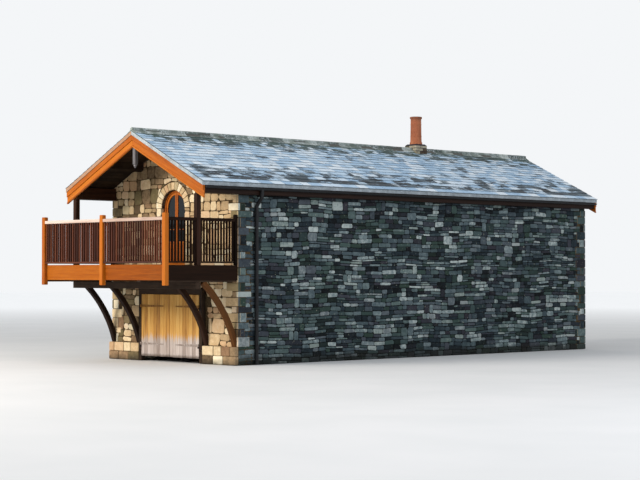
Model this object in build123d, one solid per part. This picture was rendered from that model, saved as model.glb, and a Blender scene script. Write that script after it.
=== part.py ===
from build123d import *
import os
from math import radians, tan

# A boathouse: a long rubble-stone shell with a dock for boats below and one room above,
# a slate roof that runs on over a porch, and a timber balcony carried on four curved braces.
# Millimetres, +Z up. X runs across the gable, Y along the ridge, and the boat doors face -Y.
# While the pieces are made, Y = 0 is the outer face of the front gable wall and Z = 0 is the
# foot of the walls and of the plinths. Before export everything is moved along Y, so
# that the origin is the middle of the whole building at its base.

# Masonry shell
wall_width = 5400
wall_length = 14700
wall_thickness = 500
plinth_height = 480
plinth_projection = 110

# Dock doorway, its timber frame in front of the wall and the lintel inside the wall
doorway_width = 2500
doorway_height = 1850
lintel_height = 200
lintel_bearing = 250
door_post_width = 120
door_post_depth = 120
door_head_height = 150

# Boat doors: two planked leaves hung on pintles
leaf_thickness = 45
leaf_board_count = 9
board_vee = 12
leaf_bottom = 130
leaf_side_gap = 10
leaf_top_gap = 10
leaf_meeting_gap = 8
leaf_proud_of_post = 4
ledge_height = 140
ledge_thickness = 35
ledge_end_gap = 40
leaf_brace_width = 110
hinge_heights = (480, 1520)
strap_length = 980
strap_root_width = 70
strap_tip_width = 34
strap_thickness = 8
eye_height = 70
pin_radius = 10
pin_clearance = 0.5
eye_wall = 8
eye_face_clearance = 6
eye_seat_gap = 0.3
pintle_boss_size = 30
pintle_boss_height = 40
pintle_plate_width = 90
pintle_plate_height = 120
pintle_plate_thickness = 8

# Upper floor
deck_top = 2630
floor_board = 30
floor_beam_width = 200
floor_beam_depth = 250
floor_beam_count = 9
ledger_width = 80
ledger_depth = 150

# Roof
roof_pitch = 26
eaves_overhang = 270
roof_apex_underside = 6130
roof_depth = 100
slate_overhang = 40
porch_projection = 1450
rear_overhang = 300
ridge_wing_reach = 170
ridge_wing_depth = 28
ridge_roll_radius = 55
ridge_roll_rise = 53

# Roof timbers
ridge_beam_width = 110
ridge_beam_drop = 230
purlin_width = 120
purlin_depth = 210
purlin_offset = 1350
pendant_width = 110
pendant_length = 660
pendant_tip_height = 90
pendant_tip_width = 40

# Bargeboards in two steps: a deep board and a moulding on its upper edge
verge_overhang = 20
bargeboard_depth = 330
bargeboard_thickness = 45
moulding_depth = 140
moulding_thickness = 25

# Eaves: fascia, soffit, half-round gutter and downpipe
eaves_board_drop = 220
eaves_board_thickness = 35
soffit_thickness = 20
gutter_radius = 60
gutter_wall = 4
gutter_below_roof = 45
downpipe_radius = 50
gutter_outlet_radius = 45
downpipe_from_corner = 580
downpipe_off_wall = 30
downpipe_bottom = 20
downpipe_bend_radius = 90
downpipe_neck_drop = 235
downpipe_neck_height = 220
clip_count = 3
clip_end_distance = 400
clip_width = 70
clip_height = 40

# Chimney: a low base astride the ridge and a tall round pot
chimney_from_front = 9700
chimney_base_size = 480
chimney_base_rise = 210
chimney_base_chamfer = 45
pot_height = 860
pot_foot_radius = 195
pot_foot_height = 70
pot_body_radius = 170
pot_rim_radius = 190
pot_rim_height = 60
pot_wall = 25

# Porch
porch_post_size = 140
porch_post_from_wall = 1330

# Arched balcony door and the arched window that repeats it in the rear gable
arch_width = 1000
arch_leg = 1570
arch_frame_face = 65
arch_frame_depth = 110
arch_recess = 90
threshold_height = 40
arch_leaf_thickness = 50
arch_leaf_setback = 20
arch_leaf_gap = 2
arch_leaf_stile = 62
arch_leaf_lower_panel = 560
panel_recess = 14
glass_thickness = 8
rear_window_sill_height = 820
rear_mullion_width = 90

# Balcony
balcony_depth = 2450
rail_post_size = 130
wall_post_size = 100
rail_post_rise = 103
rail_post_drop = 132
post_top_chamfer = 18
rail_height = 1222
rail_cap_height = 85
rail_cap_width = 110
bottom_rail_lift = 50
bottom_rail_height = 50
bottom_rail_width = 70
baluster_size = 45
baluster_pitch = 100
deck_board = 30
joist_width = 70
joist_depth = 160
joist_count = 6
fascia_thickness = 35
fascia_drop = 393
fascia_rise = 15
beam_width = 150
beam_depth = 250
beam_bearing = 200
brace_side_clearance = 10
cross_beam_size = 180

# Curved braces, hollow side to the front, their feet let into pockets in the piers
brace_width = 140
brace_depth = 140
brace_foot_from_wall = 0
brace_head_inset = 100
brace_sag = 165

# Values worked out from the driving dimensions
half_width = wall_width / 2
half_doorway = doorway_width / 2
roof_half_width = half_width + eaves_overhang
slope = tan(radians(roof_pitch))
eaves_board_face = roof_half_width - slate_overhang
eaves_board_bottom = roof_apex_underside - eaves_board_face * slope - eaves_board_drop
gutter_top = roof_apex_underside - eaves_board_face * slope - gutter_below_roof
pendant_top = roof_apex_underside - ridge_beam_drop
pendant_bottom = pendant_top - pendant_length
chimney_base_top = roof_apex_underside + roof_depth + chimney_base_rise
arch_spring = deck_top + arch_leg
rear_window_sill = deck_top + rear_window_sill_height
rail_top = deck_top + rail_height
rail_post_top = rail_top + rail_post_rise
fascia_bottom = deck_top - fascia_drop
rail_post_bottom = fascia_bottom - rail_post_drop
roof_front = -porch_projection
roof_back = wall_length + rear_overhang
bargeboard_front = roof_front + verge_overhang + moulding_thickness
bargeboard_back = bargeboard_front + bargeboard_thickness
rear_board_front = roof_back - verge_overhang - moulding_thickness
rear_board_back = rear_board_front - bargeboard_thickness
lintel_top = doorway_height + lintel_height
frame_front = -balcony_depth + rail_post_size
joist_top = deck_top - deck_board
beam_top = joist_top - joist_depth
beam_bottom = beam_top - beam_depth
cross_beam_bottom = beam_bottom - cross_beam_size
frame_half_width = half_width - fascia_thickness
inner_beam_offset = half_doorway + door_post_width + brace_side_clearance + brace_width / 2
outer_beam_offset = frame_half_width - beam_width / 2
beam_offsets = (-outer_beam_offset, -inner_beam_offset, inner_beam_offset, outer_beam_offset)
rail_post_offset = half_width - rail_post_size / 2
middle_y = (roof_back - balcony_depth) / 2


def block(x_range, y_range, z_range):
    """A squared block between two limits on each axis."""
    size = [high - low for low, high in (x_range, y_range, z_range)]
    corner = (x_range[0], y_range[0], z_range[0])
    return Pos(*corner) * Box(*size, align=(Align.MIN, Align.MIN, Align.MIN))


def along_y(profile, y_start, y_end):
    """Push a profile drawn in X and Z along Y."""
    return extrude(Plane.XZ.offset(-y_end) * profile, amount=y_end - y_start, dir=(0, -1, 0))


def along_x(profile, x_start, x_end):
    """Push a profile drawn in Y and Z along X."""
    return extrude(Plane.YZ.offset(x_start) * profile, amount=x_end - x_start, dir=(1, 0, 0))


def upright(profile, z_start, z_end):
    """Push a profile drawn in X and Y up along Z."""
    return extrude(Plane.XY.offset(z_start) * profile, amount=z_end - z_start)


def mirrored(piece):
    """The same piece on the other side of the ridge line."""
    return piece.mirror(Plane.YZ)


def both_sides(piece):
    """A right-hand piece with its left-hand twin, as separate solids of one node."""
    return Part() + [mirrored(piece), piece]


def underside(x):
    """Height of the roof's underside at a distance from the ridge line."""
    return roof_apex_underside - abs(x) * slope


def under_roof(x_start, x_end, y_start, y_end, z_bottom):
    """A prism on one side of the ridge whose top follows the roof's underside."""
    corners = [(x_start, z_bottom), (x_end, z_bottom), (x_end, underside(x_end)), (x_start, underside(x_start))]
    return along_y(Polygon(*corners, align=None), y_start, y_end)


def gable(y_start, y_end, z_bottom):
    """A full-width wall that rises into the gable."""
    right = under_roof(0, half_width, y_start, y_end, z_bottom)
    return right + mirrored(right)


def arch(half, z_bottom, y_start, y_end):
    """A prism with a half-round head springing at the arch height."""
    outline = [
        Line((-half, z_bottom), (half, z_bottom)),
        Line((half, z_bottom), (half, arch_spring)),
        ThreePointArc((half, arch_spring), (0, arch_spring + half), (-half, arch_spring)),
        Line((-half, arch_spring), (-half, z_bottom)),
    ]
    return along_y(make_face(outline), y_start, y_end)


def front_pier():
    """The right-hand pier beside the doorway, with its plinth, brace pockets and lintel notch."""
    pier = block((half_doorway, half_width), (0, wall_thickness), (0, lintel_top))
    toe_start = half_doorway + door_post_width
    toe = block((toe_start, half_width), (-plinth_projection, 0), (0, plinth_height))
    return pier + toe - wall_lintel() - balcony_braces()


def wall_lintel():
    reach = half_doorway + lintel_bearing
    return block((-reach, reach), (0, wall_thickness), (doorway_height, lintel_top))


def roof_timber_fit(width, depth, x_middle):
    """A roof timber with its top cut to the roof's slope, from bargeboard to bargeboard."""
    x_start = x_middle - width / 2
    x_end = x_middle + width / 2
    return under_roof(x_start, x_end, bargeboard_back, rear_board_back, underside(x_middle) - depth)


def ridge_beam():
    half = ridge_beam_width / 2
    side = under_roof(0, half, bargeboard_back, rear_board_back, roof_apex_underside - ridge_beam_drop)
    return side + mirrored(side)


def purlin():
    return roof_timber_fit(purlin_width, purlin_depth, purlin_offset)


def balcony_beam(x_middle):
    """A main beam: built into the wall at one end, its outer end carries the fascia."""
    sides = (x_middle - beam_width / 2, x_middle + beam_width / 2)
    return block(sides, (frame_front, beam_bearing), (beam_bottom, beam_top))


def front_wall_upper():
    wall = gable(0, wall_thickness, lintel_top)
    wall -= arch(arch_width / 2, deck_top, 0, wall_thickness)
    wall -= ridge_beam()
    wall -= both_sides(purlin())
    for offset in beam_offsets:
        wall -= balcony_beam(offset)
    return wall


def rear_wall():
    wall = gable(wall_length - wall_thickness, wall_length, 0)
    wall -= arch(arch_width / 2, rear_window_sill, wall_length - wall_thickness, wall_length)
    return wall - ridge_beam() - both_sides(purlin())


def side_wall():
    inner_face = half_width - wall_thickness
    return under_roof(inner_face, half_width, wall_thickness, wall_length - wall_thickness, 0)


def upper_floor():
    inner_face = half_width - wall_thickness
    run = (wall_thickness, wall_length - wall_thickness)
    return block((-inner_face, inner_face), run, (deck_top - floor_board, deck_top))


def floor_beams():
    """Cross beams under the floor boards, evenly spaced along the dock."""
    inner_face = half_width - wall_thickness
    height = (deck_top - floor_board - floor_beam_depth, deck_top - floor_board)
    bay = (wall_length - 2 * wall_thickness) / floor_beam_count
    beams = []
    for number in range(floor_beam_count):
        middle = wall_thickness + bay * (number + 0.5)
        span = (middle - floor_beam_width / 2, middle + floor_beam_width / 2)
        beams.append(block((-inner_face, inner_face), span, height))
    return Part() + beams


def floor_ledgers():
    """The timbers along the side walls that the cross beams lie on."""
    inner_face = half_width - wall_thickness
    top = deck_top - floor_board - floor_beam_depth
    run = (wall_thickness, wall_length - wall_thickness)
    return both_sides(block((inner_face - ledger_width, inner_face), run, (top - ledger_depth, top)))


def roof_slope():
    corners = [
        (0, roof_apex_underside),
        (roof_half_width, underside(roof_half_width)),
        (roof_half_width, underside(roof_half_width) + roof_depth),
        (0, roof_apex_underside + roof_depth),
    ]
    return along_y(Polygon(*corners, align=None), roof_front, roof_back)


def ridge_cap_profile():
    """Half of a roll-top ridge tile: a wing on the slates and a roll along the top."""
    apex = roof_apex_underside + roof_depth
    wing_low = apex - ridge_wing_reach * slope
    corners = [
        (0, apex),
        (ridge_wing_reach, wing_low),
        (ridge_wing_reach, wing_low + ridge_wing_depth),
        (0, apex + ridge_wing_depth),
    ]
    return Polygon(*corners, align=None)


def ridge_tiles():
    """The ridge capping, in two runs with the chimney base between them."""
    apex = roof_apex_underside + roof_depth
    wing = along_y(ridge_cap_profile(), roof_front, roof_back)
    roll = along_y(Pos(0, apex + ridge_roll_rise) * Circle(ridge_roll_radius), roof_front, roof_back)
    cap = wing + mirrored(wing) + roll
    half_base = chimney_base_size / 2
    at_chimney = (chimney_from_front - half_base, chimney_from_front + half_base)
    cap -= block((-half_width, half_width), at_chimney, (0, chimney_base_top))
    return cap - roof_slope() - mirrored(roof_slope())


def bargeboard(board_near, board_far, moulding_near, moulding_far):
    """The right-hand board of one gable, with the moulding on its outer face."""
    def band(depth):
        corners = [
            (0, roof_apex_underside),
            (roof_half_width, underside(roof_half_width)),
            (roof_half_width, underside(roof_half_width) - depth),
            (0, roof_apex_underside - depth),
        ]
        return Polygon(*corners, align=None)
    board = along_y(band(bargeboard_depth), board_near, board_far)
    return board + along_y(band(moulding_depth), moulding_near, moulding_far)


def front_bargeboard():
    moulding_front = bargeboard_front - moulding_thickness
    return bargeboard(bargeboard_front, bargeboard_back, moulding_front, bargeboard_front)


def rear_bargeboards():
    moulding_rear = rear_board_front + moulding_thickness
    right = bargeboard(rear_board_back, rear_board_front, rear_board_front, moulding_rear)
    return right + mirrored(right)


def apex_pendant():
    """The drop post under the front end of the ridge beam, tapered on four sides to a blunt tip."""
    half, tip = pendant_width / 2, pendant_tip_width / 2
    shoulder = pendant_bottom + pendant_tip_height
    right = [(tip, pendant_bottom), (half, shoulder), (half, pendant_top)]
    left = [(-across, height) for across, height in reversed(right)]
    outline = Polygon(*right, *left, align=None)
    seen_from_front = along_y(outline, bargeboard_back, bargeboard_back + pendant_width)
    seen_from_side = along_x(Pos(bargeboard_back + half, 0) * outline, -half, half)
    return seen_from_front & seen_from_side


def eaves_board():
    """Fascia with its soffit, along the whole eaves from bargeboard to bargeboard."""
    fascia_back = eaves_board_face - eaves_board_thickness
    fascia = under_roof(fascia_back, eaves_board_face, bargeboard_back, rear_board_back, eaves_board_bottom)
    soffit_top = eaves_board_bottom + soffit_thickness
    run = (bargeboard_back, rear_board_back)
    return fascia + block((half_width, fascia_back), run, (eaves_board_bottom, soffit_top))


def gutter_middle():
    return eaves_board_face + gutter_radius


def gutter():
    """A half-round gutter with closed ends and an outlet hole over the downpipe."""
    ring = Pos(gutter_middle(), gutter_top) * Circle(gutter_radius)
    hollow = Pos(gutter_middle(), gutter_top) * Circle(gutter_radius - gutter_wall)
    below = Pos(gutter_middle(), gutter_top - gutter_radius) * Rectangle(2 * gutter_radius, 2 * gutter_radius)
    body = along_y(ring & below, bargeboard_back, rear_board_back)
    body -= along_y(hollow, bargeboard_back + gutter_wall, rear_board_back - gutter_wall)
    outlet = Pos(gutter_middle(), downpipe_from_corner) * Circle(gutter_outlet_radius)
    return body - upright(outlet, gutter_top - 2 * gutter_radius, gutter_top)


def downpipe():
    """A pipe from under the gutter, set back to the wall by a swan neck, with wall clips."""
    pipe_x = half_width + downpipe_off_wall + downpipe_radius
    y = downpipe_from_corner
    neck_top = gutter_top - downpipe_neck_drop
    neck_bottom = neck_top - downpipe_neck_height
    route = FilletPolyline(
        (gutter_middle(), y, gutter_top),
        (gutter_middle(), y, neck_top),
        (pipe_x, y, neck_bottom),
        (pipe_x, y, downpipe_bottom),
        radius=downpipe_bend_radius,
    )
    start = Plane(origin=(gutter_middle(), y, gutter_top), z_dir=(0, 0, -1))
    pipe = sweep(start * Circle(downpipe_radius), path=route)
    clip_sides = (y - clip_width / 2, y + clip_width / 2)
    lowest_clip = downpipe_bottom + clip_end_distance
    clip_rise = (neck_bottom - clip_end_distance - lowest_clip) / (clip_count - 1)
    for number in range(clip_count):
        height = lowest_clip + clip_rise * number
        pipe += block((half_width, pipe_x), clip_sides, (height, height + clip_height))
    saddle = Pos(gutter_middle(), gutter_top) * Circle(gutter_radius)
    return pipe - along_y(saddle, y - 2 * downpipe_radius, y + 2 * downpipe_radius)


def chimney_base():
    """A low block astride the ridge, cut to the slates below, with a splayed top."""
    half = chimney_base_size / 2
    corners = [
        (0, underside(0) + roof_depth),
        (half, underside(half) + roof_depth),
        (half, chimney_base_top),
        (-half, chimney_base_top),
        (-half, underside(half) + roof_depth),
    ]
    base = along_y(Polygon(*corners, align=None), chimney_from_front - half, chimney_from_front + half)
    return chamfer(base.faces().sort_by(Axis.Z)[-1].edges(), chimney_base_chamfer)


def chimney_pot():
    """A tall round pot: a thick foot, a straight body and a thick rim."""
    bore = pot_body_radius - pot_wall
    outline = [
        (bore, 0),
        (pot_foot_radius, 0),
        (pot_foot_radius, pot_foot_height),
        (pot_body_radius, pot_foot_height),
        (pot_body_radius, pot_height - pot_rim_height),
        (pot_rim_radius, pot_height - pot_rim_height),
        (pot_rim_radius, pot_height),
        (bore, pot_height),
    ]
    half = Plane.XZ * Polygon(*outline, align=None)
    return Pos(0, chimney_from_front, chimney_base_top) * revolve(half, Axis.Z)


def porch_post():
    sides = (half_width - porch_post_size, half_width)
    middle = -porch_post_from_wall
    along = (middle - porch_post_size / 2, middle + porch_post_size / 2)
    return block(sides, along, (deck_top, eaves_board_bottom))


def porch_eaves_beam():
    """The beam from the wall over a porch post, its top cut to the roof's slope."""
    return under_roof(half_width - porch_post_size, half_width, bargeboard_back, 0, eaves_board_bottom)


def arched_door_frame():
    front = arch_recess
    back = arch_recess + arch_frame_depth
    frame = arch(arch_width / 2, deck_top, front, back)
    return frame - arch(arch_width / 2 - arch_frame_face, deck_top + threshold_height, front, back)


def arched_leaf_solid():
    """The right-hand leaf before its pane and panel are cut."""
    inner = arch_width / 2 - arch_frame_face - arch_leaf_gap
    front = arch_recess + arch_leaf_setback
    leaf = arch(inner, deck_top + threshold_height, front, front + arch_leaf_thickness)
    full_height = (0, roof_apex_underside)
    right_side = block((arch_leaf_gap / 2, half_width), (front, front + arch_leaf_thickness), full_height)
    return leaf & right_side


def arched_pane(front, back):
    """The glazed opening of the right-hand leaf, with its quarter-round head."""
    inner = arch_width / 2 - arch_frame_face - arch_leaf_gap - arch_leaf_stile
    sill = deck_top + threshold_height + arch_leaf_stile + arch_leaf_lower_panel
    opening = arch(inner, sill, front, back)
    full_height = (0, roof_apex_underside)
    keep = block((arch_leaf_gap / 2 + arch_leaf_stile, half_width), (front, back), full_height)
    return opening & keep


def arched_door_leaves():
    """Two glazed leaves with a sunk panel at the foot, closed."""
    front = arch_recess + arch_leaf_setback
    back = front + arch_leaf_thickness
    leaf = arched_leaf_solid() - arched_pane(front, back)
    panel_left = arch_leaf_gap / 2 + arch_leaf_stile
    panel_right = arch_width / 2 - arch_frame_face - arch_leaf_gap - arch_leaf_stile
    panel_bottom = deck_top + threshold_height + arch_leaf_stile
    panel_top = panel_bottom + arch_leaf_lower_panel - arch_leaf_stile
    leaf -= block((panel_left, panel_right), (front, front + panel_recess), (panel_bottom, panel_top))
    return both_sides(leaf)


def arched_door_glass():
    front = arch_recess + arch_leaf_setback + (arch_leaf_thickness - glass_thickness) / 2
    return both_sides(arched_pane(front, front + glass_thickness))


def rear_window_outline(inset, y_start, y_end):
    return arch(arch_width / 2 - inset, rear_window_sill + inset, y_start, y_end)


def rear_window_frame():
    """An arched frame with a central mullion, recessed like the balcony door."""
    back = wall_length - arch_recess
    front = back - arch_frame_depth
    frame = rear_window_outline(0, front, back) - rear_window_outline(arch_frame_face, front, back)
    mullion = (-rear_mullion_width / 2, rear_mullion_width / 2)
    post = block(mullion, (front, back), (0, roof_apex_underside))
    return frame + (post & rear_window_outline(arch_frame_face, front, back))


def rear_window_glass():
    middle = wall_length - arch_recess - arch_frame_depth / 2
    faces = (middle - glass_thickness / 2, middle + glass_thickness / 2)
    pane = rear_window_outline(arch_frame_face, *faces)
    mullion = (-rear_mullion_width / 2, rear_mullion_width / 2)
    return pane - block(mullion, faces, (0, roof_apex_underside))


def boat_door_post():
    sides = (half_doorway, half_doorway + door_post_width)
    return block(sides, (-door_post_depth, 0), (0, doorway_height))


def boat_door_head():
    reach = half_doorway + door_post_width
    height = (doorway_height, doorway_height + door_head_height)
    return block((-reach, reach), (-door_post_depth, 0), height)


def leaf_front():
    return -door_post_depth - leaf_proud_of_post


def hinge_axis():
    """Where a pintle stands: beside the leaf's edge and in front of the post."""
    eye_radius = pin_radius + pin_clearance + eye_wall
    return (half_doorway - leaf_side_gap / 2, -door_post_depth - eye_face_clearance - eye_radius)


def boat_door_leaf():
    """The right-hand leaf: upright V-jointed boards with three ledges and two braces behind."""
    left = leaf_meeting_gap / 2
    right = half_doorway - leaf_side_gap
    top = doorway_height - leaf_top_gap
    back = leaf_front() + leaf_thickness
    leaf = block((left, right), (leaf_front(), back), (leaf_bottom, top))
    board = (right - left) / leaf_board_count
    for number in range(1, leaf_board_count):
        joint = left + board * number
        vee = [
            (joint - board_vee / 2, leaf_front()),
            (joint + board_vee / 2, leaf_front()),
            (joint, leaf_front() + board_vee / 2),
        ]
        leaf -= upright(Polygon(*vee, align=None), leaf_bottom, top)
    ledge_left = left + ledge_end_gap
    ledge_right = right - ledge_end_gap
    ledge_back = back + ledge_thickness
    heights = (hinge_heights[0], (hinge_heights[0] + hinge_heights[1]) / 2, hinge_heights[1])
    for height in heights:
        bar = (height - ledge_height / 2, height + ledge_height / 2)
        leaf += block((ledge_left, ledge_right), (back, ledge_back), bar)
    for low, high in zip(heights, heights[1:]):
        foot = low + ledge_height / 2
        head = high - ledge_height / 2
        corners = [
            (ledge_right, foot),
            (ledge_left + leaf_brace_width, head),
            (ledge_left, head),
            (ledge_right - leaf_brace_width, foot),
        ]
        leaf += along_y(Polygon(*corners, align=None), back, ledge_back)
    return leaf


def strap_hinges():
    """The two strap hinges of the right-hand leaf: a tapered strap rolled into an eye."""
    axis_x, axis_y = hinge_axis()
    eye_radius = pin_radius + pin_clearance + eye_wall
    hinges = Part()
    for height in hinge_heights:
        corners = [
            (axis_x, height - strap_root_width / 2),
            (axis_x, height + strap_root_width / 2),
            (axis_x - strap_length, height + strap_tip_width / 2),
            (axis_x - strap_length, height - strap_tip_width / 2),
        ]
        strap = along_y(Polygon(*corners, align=None), leaf_front() - strap_thickness, leaf_front())
        low = height - eye_height / 2
        eye = upright(Pos(axis_x, axis_y) * Circle(eye_radius), low, low + eye_height)
        knuckle = (axis_x - eye_radius, axis_x)
        root = block(knuckle, (axis_y, leaf_front()), (low, low + eye_height))
        bore = upright(Pos(axis_x, axis_y) * Circle(pin_radius + pin_clearance), 0, doorway_height)
        trimmed = strap - block((axis_x - leaf_side_gap / 2, half_width), (-balcony_depth, 0), (0, doorway_height))
        hinges += trimmed + eye + root - bore
    return hinges


def pintles():
    """The two pintles of the right-hand post: a plate, a squared shoulder and an upright pin."""
    axis_x, axis_y = hinge_axis()
    plate_back = -door_post_depth
    plate_front = plate_back - pintle_plate_thickness
    ironwork = Part()
    for height in hinge_heights:
        boss_top = height - eye_height / 2 - eye_seat_gap
        boss_low = boss_top - pintle_boss_height
        plate_sides = (half_doorway, half_doorway + pintle_plate_width)
        plate = block(plate_sides, (plate_front, plate_back), (boss_top - pintle_plate_height, boss_top))
        boss = upright(Pos(axis_x, axis_y) * Rectangle(pintle_boss_size, pintle_boss_size), boss_low, boss_top)
        web = block((half_doorway, axis_x + pintle_boss_size / 2), (axis_y, plate_back), (boss_low, boss_top))
        pin = upright(Pos(axis_x, axis_y) * Circle(pin_radius), boss_low, boss_top + eye_height + eye_wall)
        ironwork += plate + boss + web + pin
    return ironwork


def brace_profile():
    """The side view of a brace: a band along an arc from the plinth to the main beam.

    The arc is set out from its chord, which runs from foot to head, and its sag towards the wall.
    """
    beam_side = -porch_post_from_wall + cross_beam_size / 2
    foot = Vector(-brace_foot_from_wall, plinth_height)
    head = Vector(beam_side + brace_head_inset, beam_bottom)
    chord = head - foot
    radius = (chord.length ** 2 / 4 + brace_sag ** 2) / (2 * brace_sag)
    to_wall = Vector(chord.Y, -chord.X) / chord.length
    centre = (foot + head) / 2 - to_wall * (radius - brace_sag)
    ring = Circle(radius + brace_depth / 2) - Circle(radius - brace_depth / 2)
    pocket_side = brace_depth - brace_foot_from_wall
    corners = [
        (beam_side, plinth_height),
        (pocket_side, plinth_height),
        (pocket_side, beam_bottom),
        (beam_side, beam_bottom),
    ]
    return Pos(centre.X, centre.Y) * ring & Polygon(*corners, align=None)


def balcony_braces():
    braces = Part()
    for offset in beam_offsets:
        braces += along_x(brace_profile(), offset - brace_width / 2, offset + brace_width / 2)
    return braces


def balcony_beams():
    return Part() + [balcony_beam(offset) for offset in beam_offsets]


def balcony_cross_beam():
    """The beam across all four braces, straight under the porch posts."""
    along = (-porch_post_from_wall - cross_beam_size / 2, -porch_post_from_wall + cross_beam_size / 2)
    return block((-frame_half_width, frame_half_width), along, (cross_beam_bottom, beam_bottom))


def balcony_joists():
    run = -frame_front - joist_width
    joists = Part()
    for number in range(joist_count):
        near = -run * number / (joist_count - 1)
        joists += block((-frame_half_width, frame_half_width), (near - joist_width, near), (beam_top, joist_top))
    return joists


def balcony_deck():
    return block((-frame_half_width, frame_half_width), (frame_front, 0), (joist_top, deck_top))


def balcony_fascia():
    """Boards round the edge of the deck: two at the front, between the posts, and one each side."""
    half_post = rail_post_size / 2
    front = block(
        (half_post, half_width - rail_post_size),
        (frame_front - fascia_thickness, frame_front),
        (fascia_bottom, deck_top + fascia_rise),
    )
    side = block((frame_half_width, half_width), (frame_front, 0), (fascia_bottom, deck_top))
    return Part() + [front, mirrored(front), side, mirrored(side)]


def balcony_posts():
    """Three posts along the front that run down past the fascia, and two against the wall."""
    height = (rail_post_bottom, rail_post_top)
    posts = Part()
    for offset in (-rail_post_offset, 0, rail_post_offset):
        sides = (offset - rail_post_size / 2, offset + rail_post_size / 2)
        posts += weathered(block(sides, (-balcony_depth, frame_front), height))
    wall_post = block((half_width - wall_post_size, half_width), (-wall_post_size, 0), (deck_top, rail_post_top))
    return posts + both_sides(weathered(wall_post))


def weathered(post):
    """A post with the edges of its top taken off, so that it sheds rain."""
    return chamfer(post.faces().sort_by(Axis.Z)[-1].edges(), post_top_chamfer)


def railing_along_x(x_start, x_end, y_middle):
    """A railing panel: cap, bottom rail and evenly spaced balusters, fused."""
    bottom = deck_top + bottom_rail_lift
    cap_low = rail_top - rail_cap_height
    half_cap = rail_cap_width / 2
    half_rail = bottom_rail_width / 2
    half_bar = baluster_size / 2
    panel = block((x_start, x_end), (y_middle - half_cap, y_middle + half_cap), (cap_low, rail_top))
    foot_rail = (bottom, bottom + bottom_rail_height)
    panel += block((x_start, x_end), (y_middle - half_rail, y_middle + half_rail), foot_rail)
    count = round((x_end - x_start) / baluster_pitch)
    pitch = (x_end - x_start) / count
    bars = []
    for number in range(count):
        middle = x_start + pitch * (number + 0.5)
        across = (middle - half_bar, middle + half_bar)
        bars.append(block(across, (y_middle - half_bar, y_middle + half_bar), (bottom + bottom_rail_height, cap_low)))
    return panel + bars


def front_railing():
    y_middle = -balcony_depth + rail_post_size / 2
    panel = railing_along_x(rail_post_size / 2, half_width - rail_post_size, y_middle)
    return both_sides(panel)


def side_railing():
    """Two panels of the right-hand return, outside and inside the porch post."""
    near_post = porch_post_from_wall - porch_post_size / 2
    far_post = porch_post_from_wall + porch_post_size / 2
    runs = ((wall_post_size, near_post), (far_post, -frame_front))
    quarter_turn = Rot(0, 0, -90)
    panels = [quarter_turn * railing_along_x(start, end, rail_post_offset) for start, end in runs]
    return Part() + panels


nodes = {
    "front_pier_left": mirrored(front_pier()),
    "front_pier_right": front_pier(),
    "wall_lintel": wall_lintel(),
    "front_wall_upper": front_wall_upper(),
    "side_wall_left": mirrored(side_wall()),
    "side_wall_right": side_wall(),
    "rear_wall": rear_wall(),
    "upper_floor": upper_floor(),
    "floor_beams": floor_beams(),
    "floor_ledgers": floor_ledgers(),
    "roof_slope_left": mirrored(roof_slope()),
    "roof_slope_right": roof_slope(),
    "ridge_tiles": ridge_tiles(),
    "ridge_beam": ridge_beam(),
    "purlins": both_sides(purlin()),
    "front_bargeboard_left": mirrored(front_bargeboard()),
    "front_bargeboard_right": front_bargeboard(),
    "rear_bargeboards": rear_bargeboards(),
    "apex_pendant": apex_pendant(),
    "eaves_board_left": mirrored(eaves_board()),
    "eaves_board_right": eaves_board(),
    "gutter_left": mirrored(gutter()),
    "gutter_right": gutter(),
    "downpipe_left": mirrored(downpipe()),
    "downpipe_right": downpipe(),
    "chimney_base": chimney_base(),
    "chimney_pot": chimney_pot(),
    "porch_posts": both_sides(porch_post()),
    "porch_eaves_beams": both_sides(porch_eaves_beam()),
    "arched_door_frame": arched_door_frame(),
    "arched_door_leaves": arched_door_leaves(),
    "arched_door_glass": arched_door_glass(),
    "rear_window_frame": rear_window_frame(),
    "rear_window_glass": rear_window_glass(),
    "boat_door_posts": both_sides(boat_door_post()),
    "boat_door_head": boat_door_head(),
    "pintles": both_sides(pintles()),
    "boat_door_left": mirrored(boat_door_leaf()),
    "boat_door_right": boat_door_leaf(),
    "strap_hinges_left": mirrored(strap_hinges()),
    "strap_hinges_right": strap_hinges(),
    "balcony_braces": balcony_braces(),
    "balcony_beams": balcony_beams(),
    "balcony_cross_beam": balcony_cross_beam(),
    "balcony_joists": balcony_joists(),
    "balcony_deck": balcony_deck(),
    "balcony_fascia": balcony_fascia(),
    "balcony_posts": balcony_posts(),
    "railing_front": front_railing(),
    "railing_left": mirrored(side_railing()),
    "railing_right": side_railing(),
}

os.makedirs("parts", exist_ok=True)
for name, piece in nodes.items():
    export_step(Pos(0, -middle_y, 0) * piece, f"parts/{name}.step")
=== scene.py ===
# %% [markdown]
# A stone boathouse. Its slate roof runs on over a porch, a timber balcony hangs out from
# its front gable on four curved braces, and a pair of boat doors closes the dock below. The
# building itself, with every wall, beam and hinge in its place, comes from the frame. This
# lesson dresses it: stone by stone, slate by slate and board by board. Each cell makes one
# thing and prints what it made, so the cells can be run and looked at one after another.

# %% Load the fixed frame
import math
from itertools import product
from random import Random

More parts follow.
